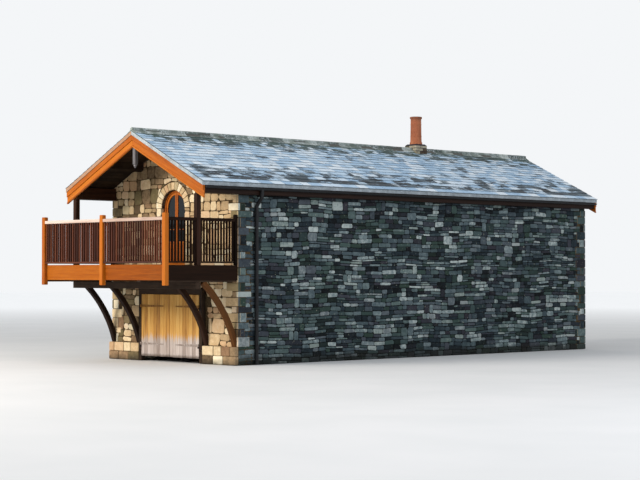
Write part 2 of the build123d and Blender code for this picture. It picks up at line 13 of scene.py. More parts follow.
import bmesh
import bpy
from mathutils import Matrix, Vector


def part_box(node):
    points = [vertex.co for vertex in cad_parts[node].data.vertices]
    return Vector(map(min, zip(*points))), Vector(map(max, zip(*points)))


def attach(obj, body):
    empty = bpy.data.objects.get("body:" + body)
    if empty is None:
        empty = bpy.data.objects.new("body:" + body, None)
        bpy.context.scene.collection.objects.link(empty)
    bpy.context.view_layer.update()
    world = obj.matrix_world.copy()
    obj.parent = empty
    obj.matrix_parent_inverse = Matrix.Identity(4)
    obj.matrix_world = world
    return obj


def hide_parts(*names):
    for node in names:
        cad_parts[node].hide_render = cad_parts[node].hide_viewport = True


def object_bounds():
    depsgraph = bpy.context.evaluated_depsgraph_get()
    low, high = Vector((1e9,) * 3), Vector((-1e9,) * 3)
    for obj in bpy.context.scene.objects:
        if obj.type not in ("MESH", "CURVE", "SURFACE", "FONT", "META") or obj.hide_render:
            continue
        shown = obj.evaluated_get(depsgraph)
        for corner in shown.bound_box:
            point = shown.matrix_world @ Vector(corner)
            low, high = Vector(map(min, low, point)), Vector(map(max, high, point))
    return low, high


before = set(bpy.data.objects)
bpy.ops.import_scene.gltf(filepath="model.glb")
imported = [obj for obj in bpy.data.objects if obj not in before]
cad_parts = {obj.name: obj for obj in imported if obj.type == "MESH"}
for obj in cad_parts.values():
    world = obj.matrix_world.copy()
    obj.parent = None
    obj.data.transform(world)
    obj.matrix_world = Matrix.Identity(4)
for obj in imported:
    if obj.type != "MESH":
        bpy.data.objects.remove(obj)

cad_low, cad_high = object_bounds()
print("frame:", len(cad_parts), "pieces, from", tuple(cad_low), "to", tuple(cad_high))

# %% [markdown]
# The camera comes first, because everything is judged through it. A building seen from far
# away looks flat and calm: the lens is long and the eye is low. We keep the viewing point of
# the photograph and only turn and zoom in until the building fills the picture. A long lens
# from the same point shows exactly the same perspective.

# %% The camera, far off and low
EYE = Vector((37.15, -36.30, 2.4))
EYE_TURN = 0.807
EYE_LIFT = 0.0195
LENS = 98.0

camera_data = bpy.data.cameras.new("far_camera")
camera_data.lens = LENS
camera_data.sensor_width = 36.0
camera_data.clip_end = 400.0
camera = bpy.data.objects.new("far_camera", camera_data)
camera.location = EYE
camera.rotation_euler = (math.pi / 2 + EYE_LIFT, 0.0, EYE_TURN)
bpy.context.scene.collection.objects.link(camera)
bpy.context.scene.camera = camera
bpy.context.scene.view_settings.view_transform = "Standard"
print("camera:", round((EYE - (cad_low + cad_high) / 2).length, 1), "m away, lens", LENS, "mm")

# %% [markdown]
# A finish is a small tree of nodes. Colours are easiest to judge as hex codes, but nodes want
# linear values, so one helper converts them. Adding nodes by hand takes many lines, so a
# recipe gives each kind of node that we use a short method.

# %% Colours
def shade(code):
    """A colour written as six hex digits, turned into the linear values that nodes use."""
    channels = [int(code[i : i + 2], 16) / 255 for i in (0, 2, 4)]
    linear = [c / 12.92 if c <= 0.04045 else ((c + 0.055) / 1.055) ** 2.4 for c in channels]
    return (*linear, 1.0)


print("the middle grey 808080 has the linear value", round(shade("808080")[0], 3))

# %% A recipe for one shader
class Recipe:
    """A node tree in the making. Its methods add nodes and return what comes out of them."""

    def __init__(self, tree):
        self.tree = tree
        self.surface = tree.nodes.get("Principled BSDF")

    def add(self, kind, inputs=(), **settings):
        node = self.tree.nodes.new(kind)
        for key, value in settings.items():
            setattr(node, key, value)
        for name, value in dict(inputs).items():
            self.plug(node.inputs[name], value)
        return node

    def plug(self, socket, value):
        if isinstance(value, bpy.types.NodeSocket):
            self.tree.links.new(value, socket)
        else:
            socket.default_value = value

    def math(self, operation, *values):
        node = self.add("ShaderNodeMath", operation=operation)
        for socket, value in zip(node.inputs, values):
            self.plug(socket, value)
        return node.outputs[0]

    def sway(self, noise, amount, onto):
        """Let a noise push a number up and down; where the noise is 0.5, nothing changes."""
        return self.math("MULTIPLY_ADD", self.math("SUBTRACT", noise, 0.5), amount, onto)

    def total(self, a, share_a, b, share_b):
        """The sum of two values, each multiplied by its share."""
        return self.math("MULTIPLY_ADD", a, share_a, self.math("MULTIPLY", b, share_b))

    def noise(self, vector, scale, detail=4.0, roughness=0.55, distortion=0.0):
        settings = {"Vector": vector, "Scale": scale, "Detail": detail}
        settings.update({"Roughness": roughness, "Distortion": distortion})
        return self.add("ShaderNodeTexNoise", settings).outputs["Fac"]

    def stretch(self, vector, scale):
        return self.add("ShaderNodeMapping", {"Vector": vector, "Scale": scale}).outputs["Vector"]

    def span(self, value, low, high, to_low=0.0, to_high=1.0):
        """Rescale a value so that low becomes to_low and high becomes to_high, and clamp it."""
        ends = {"From Min": low, "From Max": high, "To Min": to_low, "To Max": to_high}
        return self.add("ShaderNodeMapRange", {"Value": value, **ends}).outputs["Result"]

    def ramp(self, value, stops):
        """A colour ramp from a list of (position, hex colour)."""
        node = self.add("ShaderNodeValToRGB", {"Fac": value})
        marks = node.color_ramp.elements
        while len(marks) < len(stops):
            marks.new(0.5)
        for mark, (position, code) in zip(marks, stops):
            mark.position = position
            mark.color = shade(code)
        return node.outputs["Color"]

    def blend(self, amount, a, b):
        node = self.add("ShaderNodeMix", data_type="RGBA", blend_type="MIX", clamp_factor=True)
        self.plug(node.inputs[0], amount)
        self.plug(node.inputs[6], a)
        self.plug(node.inputs[7], b)
        return node.outputs[2]

    def place(self):
        """Where a point is on its own piece, which moves with the piece."""
        return self.add("ShaderNodeTexCoord").outputs["Object"]

    def axes(self, vector):
        return self.add("ShaderNodeSeparateXYZ", {"Vector": vector}).outputs

    def tone(self):
        """The three numbers that a mesh carries for each stone, slate or board."""
        node = self.add("ShaderNodeAttribute", attribute_name="tone", attribute_type="GEOMETRY")
        return self.add("ShaderNodeSeparateColor", {"Color": node.outputs["Color"]}).outputs

    def grain(self):
        """The coordinates that run along each piece of wood."""
        return self.add("ShaderNodeUVMap", uv_map="grain").outputs["UV"]

    def dress(self, colour, relief, strength, distance, roughness=None):
        """Give the surface its colour, its relief and, where it varies, its roughness."""
        bump = {"Height": relief, "Strength": strength, "Distance": distance}
        self.plug(self.surface.inputs["Base Color"], colour)
        normal = self.add("ShaderNodeBump", bump).outputs["Normal"]
        self.plug(self.surface.inputs["Normal"], normal)
        if roughness is not None:
            self.plug(self.surface.inputs["Roughness"], roughness)


print("a recipe adds the nodes of one shader")

# %% New materials
def new_material(name, roughness=0.6, metallic=0.0, gloss=0.5):
    """An empty procedural material, and the recipe that will fill it."""
    material = bpy.data.materials.new(name)
    material.use_nodes = True
    recipe = Recipe(material.node_tree)
    settings = {"Roughness": roughness, "Metallic": metallic, "Specular IOR Level": gloss}
    for socket, value in settings.items():
        recipe.surface.inputs[socket].default_value = value
    return material, recipe


print("a new material is rough and not metallic, unless we say so")

# %% [markdown]
# The stage is a plain pale floor at the foot of the walls and an even studio backdrop all
# round. A big lamp on the left stands in for the low sun that brightens the gable, and a
# weak one on the right keeps the long shaded wall readable. The backdrop lights the building
# evenly at one strength, while the camera sees it as clean white: the Light Path node tells
# the two apart.

# %% The studio backdrop
BACKDROP_LIGHT = 0.62
BACKDROP_COLOUR = shade("F4F6F8")

world = bpy.data.worlds.new("studio_backdrop")
bpy.context.scene.world = world
world.use_nodes = True
backdrop = Recipe(world.node_tree)
ray = backdrop.add("ShaderNodeLightPath").outputs
seen = backdrop.math("MAXIMUM", ray["Is Camera Ray"], ray["Is Transmission Ray"])
background = world.node_tree.nodes["Background"]
backdrop.plug(background.inputs["Strength"], backdrop.span(seen, 0.0, 1.0, BACKDROP_LIGHT, 1.0))
background.inputs["Color"].default_value = BACKDROP_COLOUR
print("backdrop: lights at", BACKDROP_LIGHT, "and shows at 1.0")

# %% Floor and lamps
FLOOR_REACH = 150.0
FLOOR_DROP = 0.002
FADE_START, FADE_END = 16.0, 75.0
LAMP_AIM = Vector((0.0, -2.0, 2.5))
SQUARE = ((-1, -1), (1, -1), (1, 1), (-1, 1))

corners = [(x * FLOOR_REACH, y * FLOOR_REACH, cad_low.z - FLOOR_DROP) for x, y in SQUARE]
floor_mesh = bpy.data.meshes.new("pale_floor")
floor_mesh.from_pydata(corners, [], [(0, 1, 2, 3)])
floor = bpy.data.objects.new("pale_floor", floor_mesh)
bpy.context.scene.collection.objects.link(floor)
floor_finish, recipe = new_material("pale_floor", roughness=0.9)
cloudy = recipe.noise(recipe.place(), 0.35, detail=2.0)
away = recipe.add("ShaderNodeVectorMath", {0: recipe.place()}, operation="LENGTH")
glow = recipe.span(away.outputs["Value"], FADE_START, FADE_END, 0.0, 0.5)
sockets = recipe.surface.inputs
recipe.plug(sockets["Base Color"], recipe.ramp(cloudy, [(0.3, "DDDFE0"), (0.7, "E3E4E5")]))
recipe.plug(sockets["Emission Strength"], glow)
sockets["Emission Color"].default_value = BACKDROP_COLOUR
floor_mesh.materials.append(floor_finish)


def soft_lamp(name, position, size, power, colour):
    """A square area lamp that faces the middle of the building."""
    data = bpy.data.lights.new(name, "AREA")
    data.size = size
    data.energy = power
    data.color = shade(colour)[:3]
    lamp = bpy.data.objects.new(name, data)
    lamp.location = position
    lamp.rotation_euler = (LAMP_AIM - lamp.location).to_track_quat("-Z", "Y").to_euler()
    bpy.context.scene.collection.objects.link(lamp)


soft_lamp("low_sun", Vector((-7.0, -34.0, 15.0)), 9.0, 9000.0, "FFF6EA")
soft_lamp("right_fill", Vector((34.0, -6.0, 16.0)), 14.0, 3200.0, "F2F6FF")
print("stage: floor and two lamps")

# %% [markdown]
# Everything here is made of many like pieces, so the lesson needs one container for them. A
# Shape collects corners and faces and becomes one mesh at the end. Each face also carries
# grain coordinates, which run along the wood in metres, and a tone of three random numbers,
# so that no two boards or stones have to look the same.

# %% A container for many small pieces
class Shape:
    """Corners, faces, grain coordinates and tones that become one mesh."""

    def __init__(self):
        self.points = []
        self.faces = []
        self.grain = []
        self.tones = []

    def add(self, points, faces, grain=None, tones=(0.5, 0.5, 0.5)):
        first = len(self.points)
        self.points.extend(tuple(point) for point in points)
        for number, face in enumerate(faces):
            self.faces.append([first + corner for corner in face])
            self.grain.extend(grain[number] if grain else [(0.0, 0.0)] * len(face))
            tone = tones[number] if isinstance(tones, list) else tones
            self.tones.extend([(*tone, 1.0)] * len(face))

    def finish(self, name, material, slot, body="boathouse", replaces=(), smooth=False):
        """Turn the shape into a piece that rides on a body of the frame."""
        mesh = bpy.data.meshes.new(name)
        mesh.from_pydata(self.points, [], self.faces)
        grain = mesh.uv_layers.new(name="grain")
        grain.data.foreach_set("uv", [number for pair in self.grain for number in pair])
        tone = mesh.color_attributes.new("tone", "FLOAT_COLOR", "CORNER")
        tone.data.foreach_set("color", [number for four in self.tones for number in four])
        mesh.polygons.foreach_set("use_smooth", [smooth] * len(mesh.polygons))
        mesh.materials.append(material)
        mesh.validate()
        piece = bpy.data.objects.new(name, mesh)
        bpy.context.scene.collection.objects.link(piece)
        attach(piece, body)
        if replaces:
            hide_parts(*replaces)
        triangles = sum(len(face) - 2 for face in self.faces)
        print(f"{name}: {triangles} triangles on {body}")
        return piece

# %% [markdown]
# Wood comes as sawn lengths. A real board is never a perfect box: its edges are eased with a
# plane, its ends are cut a little rounder, and it wanders by a millimetre or two. One helper
# makes all of them, straight or curved, from the line through the middle of the piece.

# %% One sawn length of wood
AXES = {"x": Vector((1, 0, 0)), "y": Vector((0, 1, 0)), "z": Vector((0, 0, 1))}


def timber(shape, path, across, up, width, depth, dice, ease=0.006, wander=0.0015, tone=None):
    """Add a length of wood. Across and up are directions, or lists with one for each point."""
    count = len(path)
    across = across if isinstance(across, list) else [across] * count
    up = up if isinstance(up, list) else [up] * count
    if across[0].cross(up[0]).dot(path[-1] - path[0]) < 0:
        across = [-side for side in across]
    ease = min(ease, width * 0.3, depth * 0.3)
    half, tall = width / 2, depth / 2
    outline = [(half, tall - ease), (half - ease, tall), (ease - half, tall), (-half, tall - ease)]
    outline += [(-x, -z) for x, z in outline]
    start = (path[1] - path[0]).normalized() * ease
    finish = (path[-1] - path[-2]).normalized() * ease
    stations = [(path[0], across[0], up[0], True), (path[0] + start, across[0], up[0], False)]
    stations += [(path[i], across[i], up[i], False) for i in range(1, count - 1)]
    stations.append((path[-1] - finish, across[-1], up[-1], False))
    stations.append((path[-1], across[-1], up[-1], True))
    rings, along, walked, before = [], [], 0.0, path[0]
    for middle, side, top, shrunk in stations:
        walked += (middle - before).length
        before = middle
        if shrunk:
            keep_wide, keep_tall = (half - ease) / half, (tall - ease) / tall
        else:
            shift = Vector((dice.uniform(-wander, 0), dice.uniform(-wander, 0)))
            keep_wide, keep_tall = 1 - abs(shift.x) / half, 1 - abs(shift.y) / tall
        rings.append([middle + side * (x * keep_wide) + top * (z * keep_tall) for x, z in outline])
        along.append(walked)
    girth = [0.0]
    for (x, z), (next_x, next_z) in zip(outline, outline[1:] + outline[:1]):
        girth.append(girth[-1] + math.hypot(next_x - x, next_z - z))
    offset = (dice.uniform(0, 40), dice.uniform(0, 40))
    tone = tone or (dice.random(), dice.random(), dice.random())
    points = [point for ring in rings for point in ring]
    faces, grain = [], []
    for number in range(len(rings) - 1):
        for side in range(8):
            a, b = number * 8 + side, number * 8 + (side + 1) % 8
            faces.append([a, b, b + 8, a + 8])
            u, u_next = along[number] + offset[0], along[number + 1] + offset[0]
            v, v_next = girth[side] + offset[1], girth[side + 1] + offset[1]
            grain.append([(u, v), (u, v_next), (u_next, v_next), (u_next, v)])
    last = (len(rings) - 1) * 8
    faces += [list(range(7, -1, -1)), list(range(last, last + 8))]
    ends = [(offset[0] + z * 0.3, offset[1] + x) for x, z in outline]
    grain += [ends[::-1], ends]
    shape.add(points, faces, grain, tone)


trial = Shape()
timber(trial, [Vector(), AXES["x"]], AXES["y"], AXES["z"], 0.1, 0.1, Random("trial"))
print("a straight length has", len(trial.points), "corners and", len(trial.faces), "faces")

# %% Straight lengths in boxes
def board(shape, low, high, run, dice, spacing=0.9, **settings):
    """A straight length that fills a box, with its grain along the axis named by run."""
    low, high = Vector(low), Vector(high)
    middle, size = (low + high) / 2, high - low
    others = [name for name in "xyz" if name != run]
    length = size["xyz".index(run)]
    pieces = max(2, int(length / spacing) + 1)
    start = middle - AXES[run] * length / 2
    step = AXES[run] * length / (pieces - 1)
    path = [start + step * number for number in range(pieces)]
    width, depth = (size["xyz".index(name)] for name in others)
    timber(shape, path, AXES[others[0]], AXES[others[1]], width, depth, dice, **settings)


def box_of(xs, ys, zs):
    """The low and the high corner of a box, from its two ends along each axis."""
    return tuple(zip(xs, ys, zs))


def on_side(side, a, b):
    """Two distances from the middle of the building, on one side of it, the lower first."""
    return sorted((side * a, side * b))


def solids_of(node):
    """The box of each separate solid in a node of the frame, from left to right."""
    work = bmesh.new()
    work.from_mesh(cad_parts[node].data)
    bmesh.ops.remove_doubles(work, verts=work.verts, dist=1e-5)
    left, boxes = set(work.verts), []
    while left:
        group, queue = set(), [left.pop()]
        while queue:
            vertex = queue.pop()
            group.add(vertex)
            for edge in vertex.link_edges:
                other = edge.other_vert(vertex)
                if other in left:
                    left.discard(other)
                    queue.append(other)
        low = Vector([min(v.co[axis] for v in group) for axis in range(3)])
        high = Vector([max(v.co[axis] for v in group) for axis in range(3)])
        boxes.append((low, high))
    work.free()
    return sorted(boxes, key=lambda box: tuple(round(number, 3) for number in box[0]))


print("posts on the balcony:", len(solids_of("balcony_posts")))

# %% [markdown]
# One recipe gives every kind of wood. Long thin streaks follow the grain coordinates, a
# slower noise makes whole areas darker or lighter, and the tone shifts each board a little.
# The same streaks drive the bump, so that light catches the fibres where the colour says
# that they are. Only the colours, the wear and the gloss differ from timber to timber.

# %% Wood finishes
def wood(name, colours, roughness=0.65, streaks=1.0, spread=0.5, weather=None, gloss=0.3):
    """A wood finish; weather is a (hex colour, amount) of bleaching that lies in patches."""
    material, recipe = new_material(name, gloss=gloss)
    grain, tone = recipe.grain(), recipe.tone()
    fibre = recipe.noise(recipe.stretch(grain, (2.2, 95.0, 1.0)), 1.0, 5.0, 0.62)
    band = recipe.noise(recipe.stretch(grain, (0.7, 16.0, 1.0)), 1.0, 3.0, 0.5, 0.6)
    mixed = recipe.total(fibre, 0.55 * streaks, band, 0.45)
    shifted = recipe.math("MULTIPLY_ADD", tone[0], spread * 0.5, mixed)
    level = recipe.span(shifted, 0.28 + spread * 0.1, 0.62 + spread * 0.4 * streaks)
    colour = recipe.ramp(level, list(zip((0.0, 0.5, 1.0), colours)))
    if weather:
        patch = recipe.noise(recipe.place(), 2.6, 5.0, 0.6)
        worn = recipe.math("MULTIPLY", recipe.span(patch, 0.45, 0.7), weather[1])
        colour = recipe.blend(worn, colour, shade(weather[0]))
    rough = recipe.span(fibre, 0.3, 0.7, roughness - 0.1, roughness + 0.12)
    recipe.dress(colour, fibre, 0.35, 0.002, rough)
    return material


orange, rust = ("763604", "A85508", "C06E17"), ("602C03", "8E4606", "A85C12")
orange_timber = wood("orange_timber", orange, 0.5, weather=("BA8440", 0.12), gloss=0.18)
fascia_timber = wood("fascia_timber", rust, 0.5, weather=("A07034", 0.10), gloss=0.12)
red_brown, painted_shade_black = ("26110A", "482214", "663620"), ("0A0604", "160D08", "25170F")
railing_timber = wood("railing_timber", red_brown, 0.55, spread=0.9, gloss=0.2)
# The pale colour of the cap is a painted highlight of the sky.
rail_top_painted_sky = wood("rail_top_painted_sky", ("8A6C5E", "BFA799", "E1D0C6"), 0.75)
porch_timber = wood("porch_timber", ("140B06", "28160E", "42281A"), 0.6, gloss=0.12)
# Dark stain deepened to near black as painted shade, for the sides of the balcony.
shaded_side_timber = wood("shaded_side_timber", painted_shade_black, 0.7, gloss=0.06)
tarred, brace_dark_to_sunlit = ("0E0A07", "21170F", "3A2B1F"), ("140B06", "2A160A", "5C3712")
dark_timber = wood("dark_timber", tarred, 0.75, weather=("5A4A3A", 0.2), gloss=0.2)
brace_timber = wood("brace_timber", brace_dark_to_sunlit, 0.75, spread=0.9, gloss=0.2)
grey_timber = wood("grey_timber", ("4C4B4D", "727073", "97959A"), 0.8)
trodden = ("4A3A2C", "76604B", "9A8468")
deck_timber = wood("deck_timber", trodden, 0.75, weather=("A7A49A", 0.4))
floor_timber = wood("floor_timber", ("5A3E26", "86623F", "A8814F"), 0.6)
print("wood finishes made")

# %% [markdown]
# Now the timber of the building, from the balcony inwards. Where the frame has a plain beam
# we read its box and put a sawn length in its place: its place and size stay those of the
# frame, and only its edges, its grain and its colour are new.

# %% Balcony: joists, beams and the cross beam
def fill_with_boards(node, run, material, slot, **settings):
    """Stand one sawn length in for each solid of a node."""
    shape, dice = Shape(), Random(node)
    for low, high in solids_of(node):
        board(shape, low, high, run, dice, **settings)
    shape.finish(node + "_sawn", material, slot, replaces=[node])


fill_with_boards("balcony_joists", "x", dark_timber, "dark_timber")
fill_with_boards("balcony_beams", "y", dark_timber, "dark_timber", ease=0.010)
fill_with_boards("balcony_cross_beam", "x", dark_timber, "dark_timber", ease=0.010)
fill_with_boards("porch_posts", "z", porch_timber, "porch_timber", ease=0.010)
fill_with_boards("boat_door_posts", "z", dark_timber, "dark_timber", ease=0.008)
fill_with_boards("boat_door_head", "x", dark_timber, "dark_timber", ease=0.008)
fill_with_boards("floor_beams", "x", dark_timber, "dark_timber", ease=0.010)
fill_with_boards("floor_ledgers", "y", dark_timber, "dark_timber", ease=0.010)
fill_with_boards("wall_lintel", "x", dark_timber, "dark_timber", ease=0.010)

# %% [markdown]
# The deck is boards laid from the wall out to the fascia, with a thin line of shadow between
# them. The floor of the room behind is tighter and warmer.

# %% Deck and floor boards
RAGGED_END = 0.004


def boards_over(node, run, board_width, gap, material, slot):
    """Cover a slab with boards side by side."""
    low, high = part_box(node)
    side = "xyz".index("x" if run == "y" else "y")
    count = round((high[side] - low[side] + gap) / board_width)
    pitch = (high[side] - low[side] + gap) / count
    shape, dice = Shape(), Random(node)
    for number in range(count):
        start, end = low.copy(), high.copy()
        start[side] = low[side] + pitch * number
        end[side] = start[side] + pitch - gap
        start["xyz".index(run)] += dice.uniform(0, RAGGED_END)
        board(shape, start, end, run, dice, ease=0.004)
    shape.finish(node + "_boards", material, slot, replaces=[node])


boards_over("balcony_deck", "y", 0.125, 0.006, deck_timber, "deck_boards")
boards_over("upper_floor", "y", 0.150, 0.002, floor_timber, "floor_boards")

# %% [markdown]
# The braces are the boldest shape under the balcony: four curved timbers, each cut from one
# crooked log, that spring from the plinth and lean out to the beam under the deck. We find
# the arc again from its two ends and its sag, walk along it in short steps, and turn the
# section as we go. The last one on the right, where the low sun reaches, is painted a lighter
# brown as painted sunlight.

# %% Curved braces
BRACE_SIZE = 0.14
BRACE_SAG = 0.165
BRACE_STEPS = 14
BRACE_BEARING = 0.10

wall_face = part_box("front_wall_upper")[0].y
brace_shape, dice = Shape(), Random("braces")
braces = solids_of("balcony_braces")
for number, (low, high) in enumerate(braces):
    foot = Vector((wall_face, low.z))
    head = Vector((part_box("balcony_cross_beam")[1].y + BRACE_BEARING, high.z))
    chord = head - foot
    radius = (chord.length ** 2 / 4 + BRACE_SAG ** 2) / (2 * BRACE_SAG)
    to_wall = Vector((chord.y, -chord.x)).normalized()
    centre = (foot + head) / 2 - to_wall * (radius - BRACE_SAG)
    start = math.atan2(foot.y - centre.y, foot.x - centre.x)
    end = math.atan2(head.y - centre.y, head.x - centre.x)
    middle_x = (low.x + high.x) / 2
    path, outward = [], []
    for step in range(BRACE_STEPS + 1):
        angle = start + (end - start) * step / BRACE_STEPS
        spoke = Vector((0, math.cos(angle), math.sin(angle)))
        path.append(Vector((middle_x, centre.x, centre.y)) + spoke * radius)
        outward.append(spoke)
    # Painted sunlight: the braces are painted lighter towards the right.
    painted_sun_here = 0.95 * (number / (len(braces) - 1)) ** 3
    tone = (painted_sun_here, dice.random(), dice.random())
    timber(brace_shape, path, AXES["x"], outward, BRACE_SIZE, BRACE_SIZE, dice, 0.012, 0.004, tone)
brace_shape.finish("curved_braces", brace_timber, "dark_timber", replaces=["balcony_braces"])

# %% [markdown]
# The balcony's face is what one sees first: three posts and a deep board in a bright orange
# stain. The two sides are dark stained wood painted nearly black as painted shade, so they
# are shapes of their own.

# %% Fascia boards and posts
POST_EASE = 0.0126

fascia, side_fascia, dice = Shape(), Shape(), Random("fascia")
for low, high in solids_of("balcony_fascia"):
    if high.x - low.x > 1:
        board(fascia, low, high, "x", dice, ease=0.006)
    else:
        board(side_fascia, low, high, "y", dice, ease=0.006)
fascia.finish("front_fascia", fascia_timber, "orange_timber", replaces=["balcony_fascia"])
side_fascia.finish("side_fascia", shaded_side_timber, "porch_timber")

front_posts, wall_posts, dice = Shape(), Shape(), Random("posts")
for low, high in solids_of("balcony_posts"):
    at_wall = high.y > wall_face - 0.01
    target = wall_posts if at_wall else front_posts
    board(target, low, high, "z", dice, ease=POST_EASE, spacing=0.6)
front_posts.finish("front_posts", orange_timber, "orange_timber", replaces=["balcony_posts"])
wall_posts.finish("wall_posts", shaded_side_timber, "railing_timber")

# %% [markdown]
# Between the posts stands a railing in a deep red brown whose top is painted almost white, a
# painted highlight of the bright sky on the cap.
# An array of one baluster would be quick, but balusters are slim and catch the light along
# their edges, so each one is a sawn length with eased edges and grain of its own.

# %% Railings
RAIL_CAP = 0.085
RAIL_BOTTOM = 0.050
RAIL_HALF = 0.035
BALUSTER = 0.045
BALUSTER_PITCH = 0.100


def railing(node, run, cap_shape, body_shape, dice):
    """Cap, bottom rail and balusters for each panel of a railing node."""
    for low, high in solids_of(node):
        axis, side = "xyz".index(run), "xyz".index("y" if run == "x" else "x")
        middle = (low[side] + high[side]) / 2
        board(cap_shape, (low.x, low.y, high.z - RAIL_CAP), high, run, dice, ease=0.008)
        rail_low, rail_high = low.copy(), high.copy()
        rail_low[side], rail_high[side] = middle - RAIL_HALF, middle + RAIL_HALF
        rail_high.z = low.z + RAIL_BOTTOM
        board(body_shape, rail_low, rail_high, run, dice, ease=0.005)
        count = round((high[axis] - low[axis]) / BALUSTER_PITCH)
        pitch = (high[axis] - low[axis]) / count
        for number in range(count):
            centre = low[axis] + pitch * (number + 0.5)
            bar_low, bar_high = low.copy(), high.copy()
            bar_low.z, bar_high.z = rail_high.z, high.z - RAIL_CAP
            for index, place in ((axis, centre), (side, middle)):
                bar_low[index] = place - BALUSTER / 2
                bar_high[index] = place + BALUSTER / 2
            board(body_shape, bar_low, bar_high, "z", dice, ease=0.004, spacing=0.6)


front_cap, front_rails, dice = Shape(), Shape(), Random("front_rail")
railing("railing_front", "x", front_cap, front_rails, dice)
front_cap.finish("front_rail_cap", rail_top_painted_sky, "railing_timber")
front_rails.finish("front_rails", railing_timber, "railing_timber", replaces=["railing_front"])
side_cap, side_rails, dice = Shape(), Shape(), Random("side_rail")
for node in ("railing_left", "railing_right"):
    railing(node, "y", side_cap, side_rails, dice)
side_cap.finish("side_rail_caps", shaded_side_timber, "railing_timber")
side_nodes = ["railing_left", "railing_right"]
side_rails.finish("side_rails", shaded_side_timber, "railing_timber", replaces=side_nodes)

# %% [markdown]
# Under the roof the timbers lie to its slope. A board that is cut plumb at both ends is a
# sheared box: its path climbs while its section stays upright, which is just what the helper
# does when it is given upright directions and a climbing path.

# %% Bargeboards
ROOF_DEPTH = 0.100
BARGE_DEPTH = 0.33
BARGE_STEP = 0.025
MOULDING = 0.14
FILLET = 0.05
FILLET_SETBACK = 0.45

roof_low, roof_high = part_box("roof_slope_right")
apex = roof_high.z - ROOF_DEPTH
pitch_fall = (roof_high.z - roof_low.z - ROOF_DEPTH) / (roof_high.x - roof_low.x)


def verge_board(shape, side, faces, top_drop, bottom_drop, dice):
    """One raking board on a gable, between two faces, from the ridge line to the eaves."""
    near, far = sorted(faces)
    middle_drop = (top_drop + bottom_drop) / 2
    path = []
    for number in range(6):
        x = roof_high.x * number / 5
        path.append(Vector((side * x, (near + far) / 2, apex - x * pitch_fall - middle_drop)))
    timber(shape, path, AXES["y"], AXES["z"], far - near, bottom_drop - top_drop, dice, ease=0.006)


front_low, front_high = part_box("front_bargeboard_right")
rear_low, rear_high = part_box("rear_bargeboards")
for name, outer, inward, inner, nodes in (
    ("front", front_low.y, 1, front_high.y, ["front_bargeboard_left", "front_bargeboard_right"]),
    ("rear", rear_high.y, -1, rear_low.y, ["rear_bargeboards"]),
):
    boards, dice = Shape(), Random(name + "_bargeboards")
    step = outer + inward * BARGE_STEP
    bead = outer + (step - outer) * FILLET_SETBACK
    for side in (-1, 1):
        verge_board(boards, side, (step, inner), 0.0, BARGE_DEPTH, dice)
        verge_board(boards, side, (outer, step), 0.0, MOULDING, dice)
        verge_board(boards, side, (bead, step), BARGE_DEPTH - FILLET, BARGE_DEPTH, dice)
    boards.finish(name + "_bargeboard_wood", orange_timber, "orange_timber", replaces=nodes)

# %% [markdown]
# Where the two bargeboards meet, a pendant hangs. Three blocks, each slimmer than the one
# above it, give it a stepped foot, and more than that wouldn't show from so far away.

# %% Apex pendant
PENDANT_TIP = 0.09

pendant, dice = Shape(), Random("pendant")
low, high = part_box("apex_pendant")
board(pendant, (low.x, low.y, low.z + PENDANT_TIP), high, "z", dice, ease=0.010)
for share in (0.0, 0.5):
    inset = 0.018 + share * 0.03
    tip_low = (low.x + inset, low.y + inset, low.z + PENDANT_TIP * (0.5 - share))
    tip_high = (high.x - inset, high.y - inset, low.z + PENDANT_TIP * (1 - share))
    board(pendant, tip_low, tip_high, "z", dice, ease=0.010)
pendant.finish("apex_pendant_turned", grey_timber, "grey_timber", replaces=["apex_pendant"])

# %% [markdown]
# Along the eaves runs a plain painted board with a soffit behind it, and the porch roof rests
# on a beam at each side. Purlins carry the roof and lie to its slope. The frame cuts the tops
# of these beams to the roof; a sawn length stays square, so its top is kept a little lower.

# %% Eaves boards, porch beams, purlins and ridge beam
EAVES_BOARD = 0.035
SOFFIT = 0.020
PORCH_BEAM_DROP = 0.068
RIDGE_BEAM_DROP = 0.030
PURLIN_DEPTH = 0.205
PURLIN_GAP = 0.002

eaves, dice = Shape(), Random("eaves")
for node in ("eaves_board_left", "eaves_board_right"):
    low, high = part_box(node)
    side = 1 if high.x > 0 else -1
    face, root = max(abs(low.x), abs(high.x)), min(abs(low.x), abs(high.x))
    upright = (on_side(side, face, face - EAVES_BOARD), (low.z, apex - face * pitch_fall))
    soffit = (on_side(side, face - EAVES_BOARD, root), (low.z, low.z + SOFFIT))
    for (xs, zs), ease in ((upright, 0.005), (soffit, 0.004)):
        board(eaves, *box_of(xs, (low.y, high.y), zs), "y", dice, spacing=1.4, ease=ease)
porch_beams = Shape()
for low, high in solids_of("porch_eaves_beams"):
    beam_high = (high.x, high.y, high.z - PORCH_BEAM_DROP)
    board(porch_beams, low, beam_high, "y", dice, ease=0.008)
porch_beams.finish(
    "porch_beam_wood", porch_timber, "porch_timber", replaces=["porch_eaves_beams"]
)

